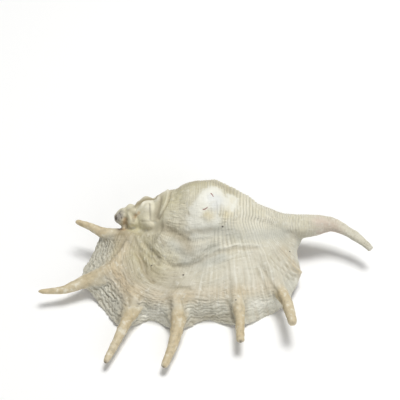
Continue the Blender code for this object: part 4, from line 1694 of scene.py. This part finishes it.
@dataclass(frozen=True)
class Shell:
    """The whole shell as one skin over the whorl, the spire and the fingers."""

    name: str = "spider_conch"
    whorl: LastWhorl = LastWhorl()
    spire: Spire = Spire()
    fingers: Fingers = Fingers()
    relief: Relief = Relief()
    finish: ShellFinish = ShellFinish()
    fine_folds: tuple[Fold, ...] = FINE_FOLDS
    patches: tuple[tuple[Mark, tuple[Patch, ...]], ...] = tuple(PATCHES.items())
    voxel: float = 0.85
    quick_voxel: float = 1.5
    smoothing: int = 3
    root_reach: float = 9.0
    root_levels: int = 8
    root_smoothing: int = 24
    inside_from: float = 0.9
    triangles_most: int = 195000

    def build(self) -> bpy.types.Object:
        """Make the shell's one piece and dress it.

        Returns:
            The piece, with its material.
        """
        whorl_rings = self.whorl.rings()
        guide = self.loft("whorl_guide", [whorl_rings])
        skin = self.skin([whorl_rings, self.spire.rings()])
        self.add_details(skin.data)
        set_mark(skin.data, Mark.SPIRE, self.spire.cover(places_of(skin.data)))
        carved = self.relief.graph(guide, self.finish.material()).make(skin)
        carved.name = self.name
        bpy.data.objects.remove(guide)
        bpy.data.objects.remove(skin)
        places = places_of(carved)
        places[:, 2] = np.maximum(places[:, 2], 0)
        set_places(carved, places)
        piece = new_object(self.name, carved)
        self.thin_inside(piece)
        piece.data.shade_smooth()
        return piece

    @staticmethod
    def loft(name: str, parts: Sequence[Rings]) -> bpy.types.Object:
        """One object that holds the skins over several sets of rings.

        Args:
            name: The object's name.
            parts: The sets of rings. A single set also gives its marks to the object.

        Returns:
            The object.
        """
        points, faces = [], []
        start = 0
        for part in parts:
            faces += part.faces(start)
            points.append(part.points.reshape(-1, 3))
            start += len(points[-1])
        mesh = bpy.data.meshes.new(name)
        mesh.from_pydata((np.concatenate(points) * MM).tolist(), [], faces)
        if len(parts) == 1:
            for mark, values in parts[0].marks.items():
                set_mark(mesh, mark, values)
        return new_object(name, mesh)

    def skin(self, parts: Sequence[Rings]) -> bpy.types.Object:
        """One closed skin over the lofts and the fingers, soft where they meet.

        Args:
            parts: The rings of the whorl and of the spire.

        Returns:
            The skin, as an object.
        """
        whole = self.loft("skin", parts)
        tubes = new_object("finger_tubes", self.fingers.mesh())
        with bpy.context.temp_override(active_object=whole, selected_editable_objects=[whole, tubes]):
            bpy.ops.object.join()
        closed = whole.modifiers.new("one skin", "REMESH")
        closed.mode = "VOXEL"
        closed.voxel_size = self.voxel * MM
        add_smoothing(whole, self.smoothing)
        skin = new_object("skin", plain_mesh(whole))
        bpy.data.objects.remove(whole)
        roots = [finger.points[:3] for finger in self.fingers.fingers]
        places = places_of(skin.data)
        cover = np.max([near_path(root, self.root_reach, places) for root in roots], axis=0)
        levels = np.round(cover * self.root_levels)
        add_smoothing(skin, self.root_smoothing, add_group(skin, levels / self.root_levels))
        softened = new_object("skin", plain_mesh(skin))
        bpy.data.objects.remove(skin)
        return softened

    def add_details(self, mesh: bpy.types.Mesh) -> None:
        """Raise the fine folds on the skin, mark their creases for painted shade and their crests for
        painted highlight, and mark the patches of colour.

        Args:
            mesh: The skin.
        """
        surface = Surface(mesh)
        covers = [surface.near(fold.points, fold.width) for fold in self.fine_folds]
        # How much painted shade each crease gets.
        crease_shades = [np.clip(-fold.height, 0, 1) for fold in self.fine_folds]
        # How much painted highlight each crest gets, most on narrow crests.
        crest_highlights = [np.clip(fold.height, 0, 1) / max(fold.width, 1) ** 2 for fold in self.fine_folds]
        for mark, shares in ((Mark.CREASE, crease_shades), (Mark.CREST, crest_highlights)):
            set_mark(mesh, mark, sum(share * cover for share, cover in zip(shares, covers)))
        surface.raise_by(sum(fold.height * cover for cover, fold in zip(covers, self.fine_folds)))
        for mark, patches in self.patches:
            cover = np.max([surface.near(patch.points, patch.width) for patch in patches], axis=0)
            set_mark(mesh, mark, cover)

    def thin_inside(self, piece: bpy.types.Object) -> None:
        """Take faces off the smooth inside until the piece is within its triangles.

        Args:
            piece: The finished shell, whose mesh is changed for a lighter one.
        """
        triangles = sum(len(face.vertices) - 2 for face in piece.data.polygons)
        if triangles <= self.triangles_most:
            return
        inside = np.empty(len(piece.data.vertices), np.float32)
        piece.data.attributes[Mark.INSIDE.value].data.foreach_get("value", inside)
        fewer = piece.modifiers.new("fewer faces inside", "DECIMATE")
        fewer.ratio = self.triangles_most / triangles
        fewer.vertex_group = add_group(piece, (inside > self.inside_from).astype(float))
        old = piece.data
        piece.data = plain_mesh(piece)
        piece.modifiers.clear()
        piece.vertex_groups.clear()
        bpy.data.meshes.remove(old)


class Light(NamedTuple):
    """A square soft light, with its place and its width in metres and its power in watts."""

    name: str
    place: Point
    size: float
    power: float


@dataclass(frozen=True)
class Studio:
    """A pale floor, soft lights and the camera at the photograph's angle."""

    camera_place: Point = (-3.4, -444.24, 530.59)
    camera_pitch: float = 46.909
    lens: float = 70.0
    floor_size: float = 8.0
    floor_colour: Colour = (0.95, 0.95, 0.94, 1)
    floor_roughness: float = 0.85
    room_light: float = 0.3
    lights: tuple[Light, ...] = (
        Light("key", (0.3, 0.4, 2.2), 0.8, 38.0),
        Light("fill", (0.9, -2.0, 1.0), 1.6, 14.0),
    )
    aim: Point = (0, -0.04, 0.03)

    def build(self) -> None:
        """Make the floor, the lights, the room's soft light and the camera."""
        self.floor()
        for light in self.lights:
            self.hang(light)
        world = bpy.data.worlds.new("soft_room")
        world.use_nodes = True
        background = world.node_tree.nodes["Background"].inputs
        background["Color"].default_value = (1, 1, 1, 1)
        background["Strength"].default_value = self.room_light
        bpy.context.scene.world = world
        bpy.context.scene.view_settings.view_transform = "Standard"
        camera = bpy.data.cameras.new("camera")
        camera.lens = self.lens
        holder = new_object("camera", camera)
        holder.location = [value * MM for value in self.camera_place]
        holder.rotation_euler = (math.radians(90 - self.camera_pitch), 0, 0)
        bpy.context.scene.camera = holder

    def floor(self) -> None:
        """Lay a wide pale floor under the shell."""
        half = self.floor_size / 2
        mesh = bpy.data.meshes.new("floor")
        corners = [(-half, -half, 0), (half, -half, 0), (half, half, 0), (-half, half, 0)]
        mesh.from_pydata(corners, [], [(0, 1, 2, 3)])
        material = bpy.data.materials.new("pale_floor")
        material.use_nodes = True
        shader = material.node_tree.nodes["Principled BSDF"]
        shader.inputs["Base Color"].default_value = self.floor_colour
        shader.inputs["Roughness"].default_value = self.floor_roughness
        mesh.materials.append(material)
        new_object("floor", mesh)

    def hang(self, light: Light) -> None:
        """Hang a light so that it faces the shell.

        Args:
            light: What to hang, and where.
        """
        lamp = bpy.data.lights.new(light.name, "AREA")
        lamp.shape = "SQUARE"
        lamp.size = light.size
        lamp.energy = light.power
        holder = new_object(light.name, lamp)
        holder.location = light.place
        facing = Vector(self.aim) - Vector(light.place)
        holder.rotation_euler = facing.to_track_quat("-Z", "Y").to_euler()


def main() -> None:
    """Build the shell and the studio, and report the piece."""
    piece = Shell().build()
    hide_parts("shell")
    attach(piece, "root")
    LOG.info("%s: %d points, %d faces", piece.name, len(piece.data.vertices), len(piece.data.polygons))
    Studio().build()


if __name__ == "__main__":
    logging.basicConfig(level=logging.INFO)
    main()
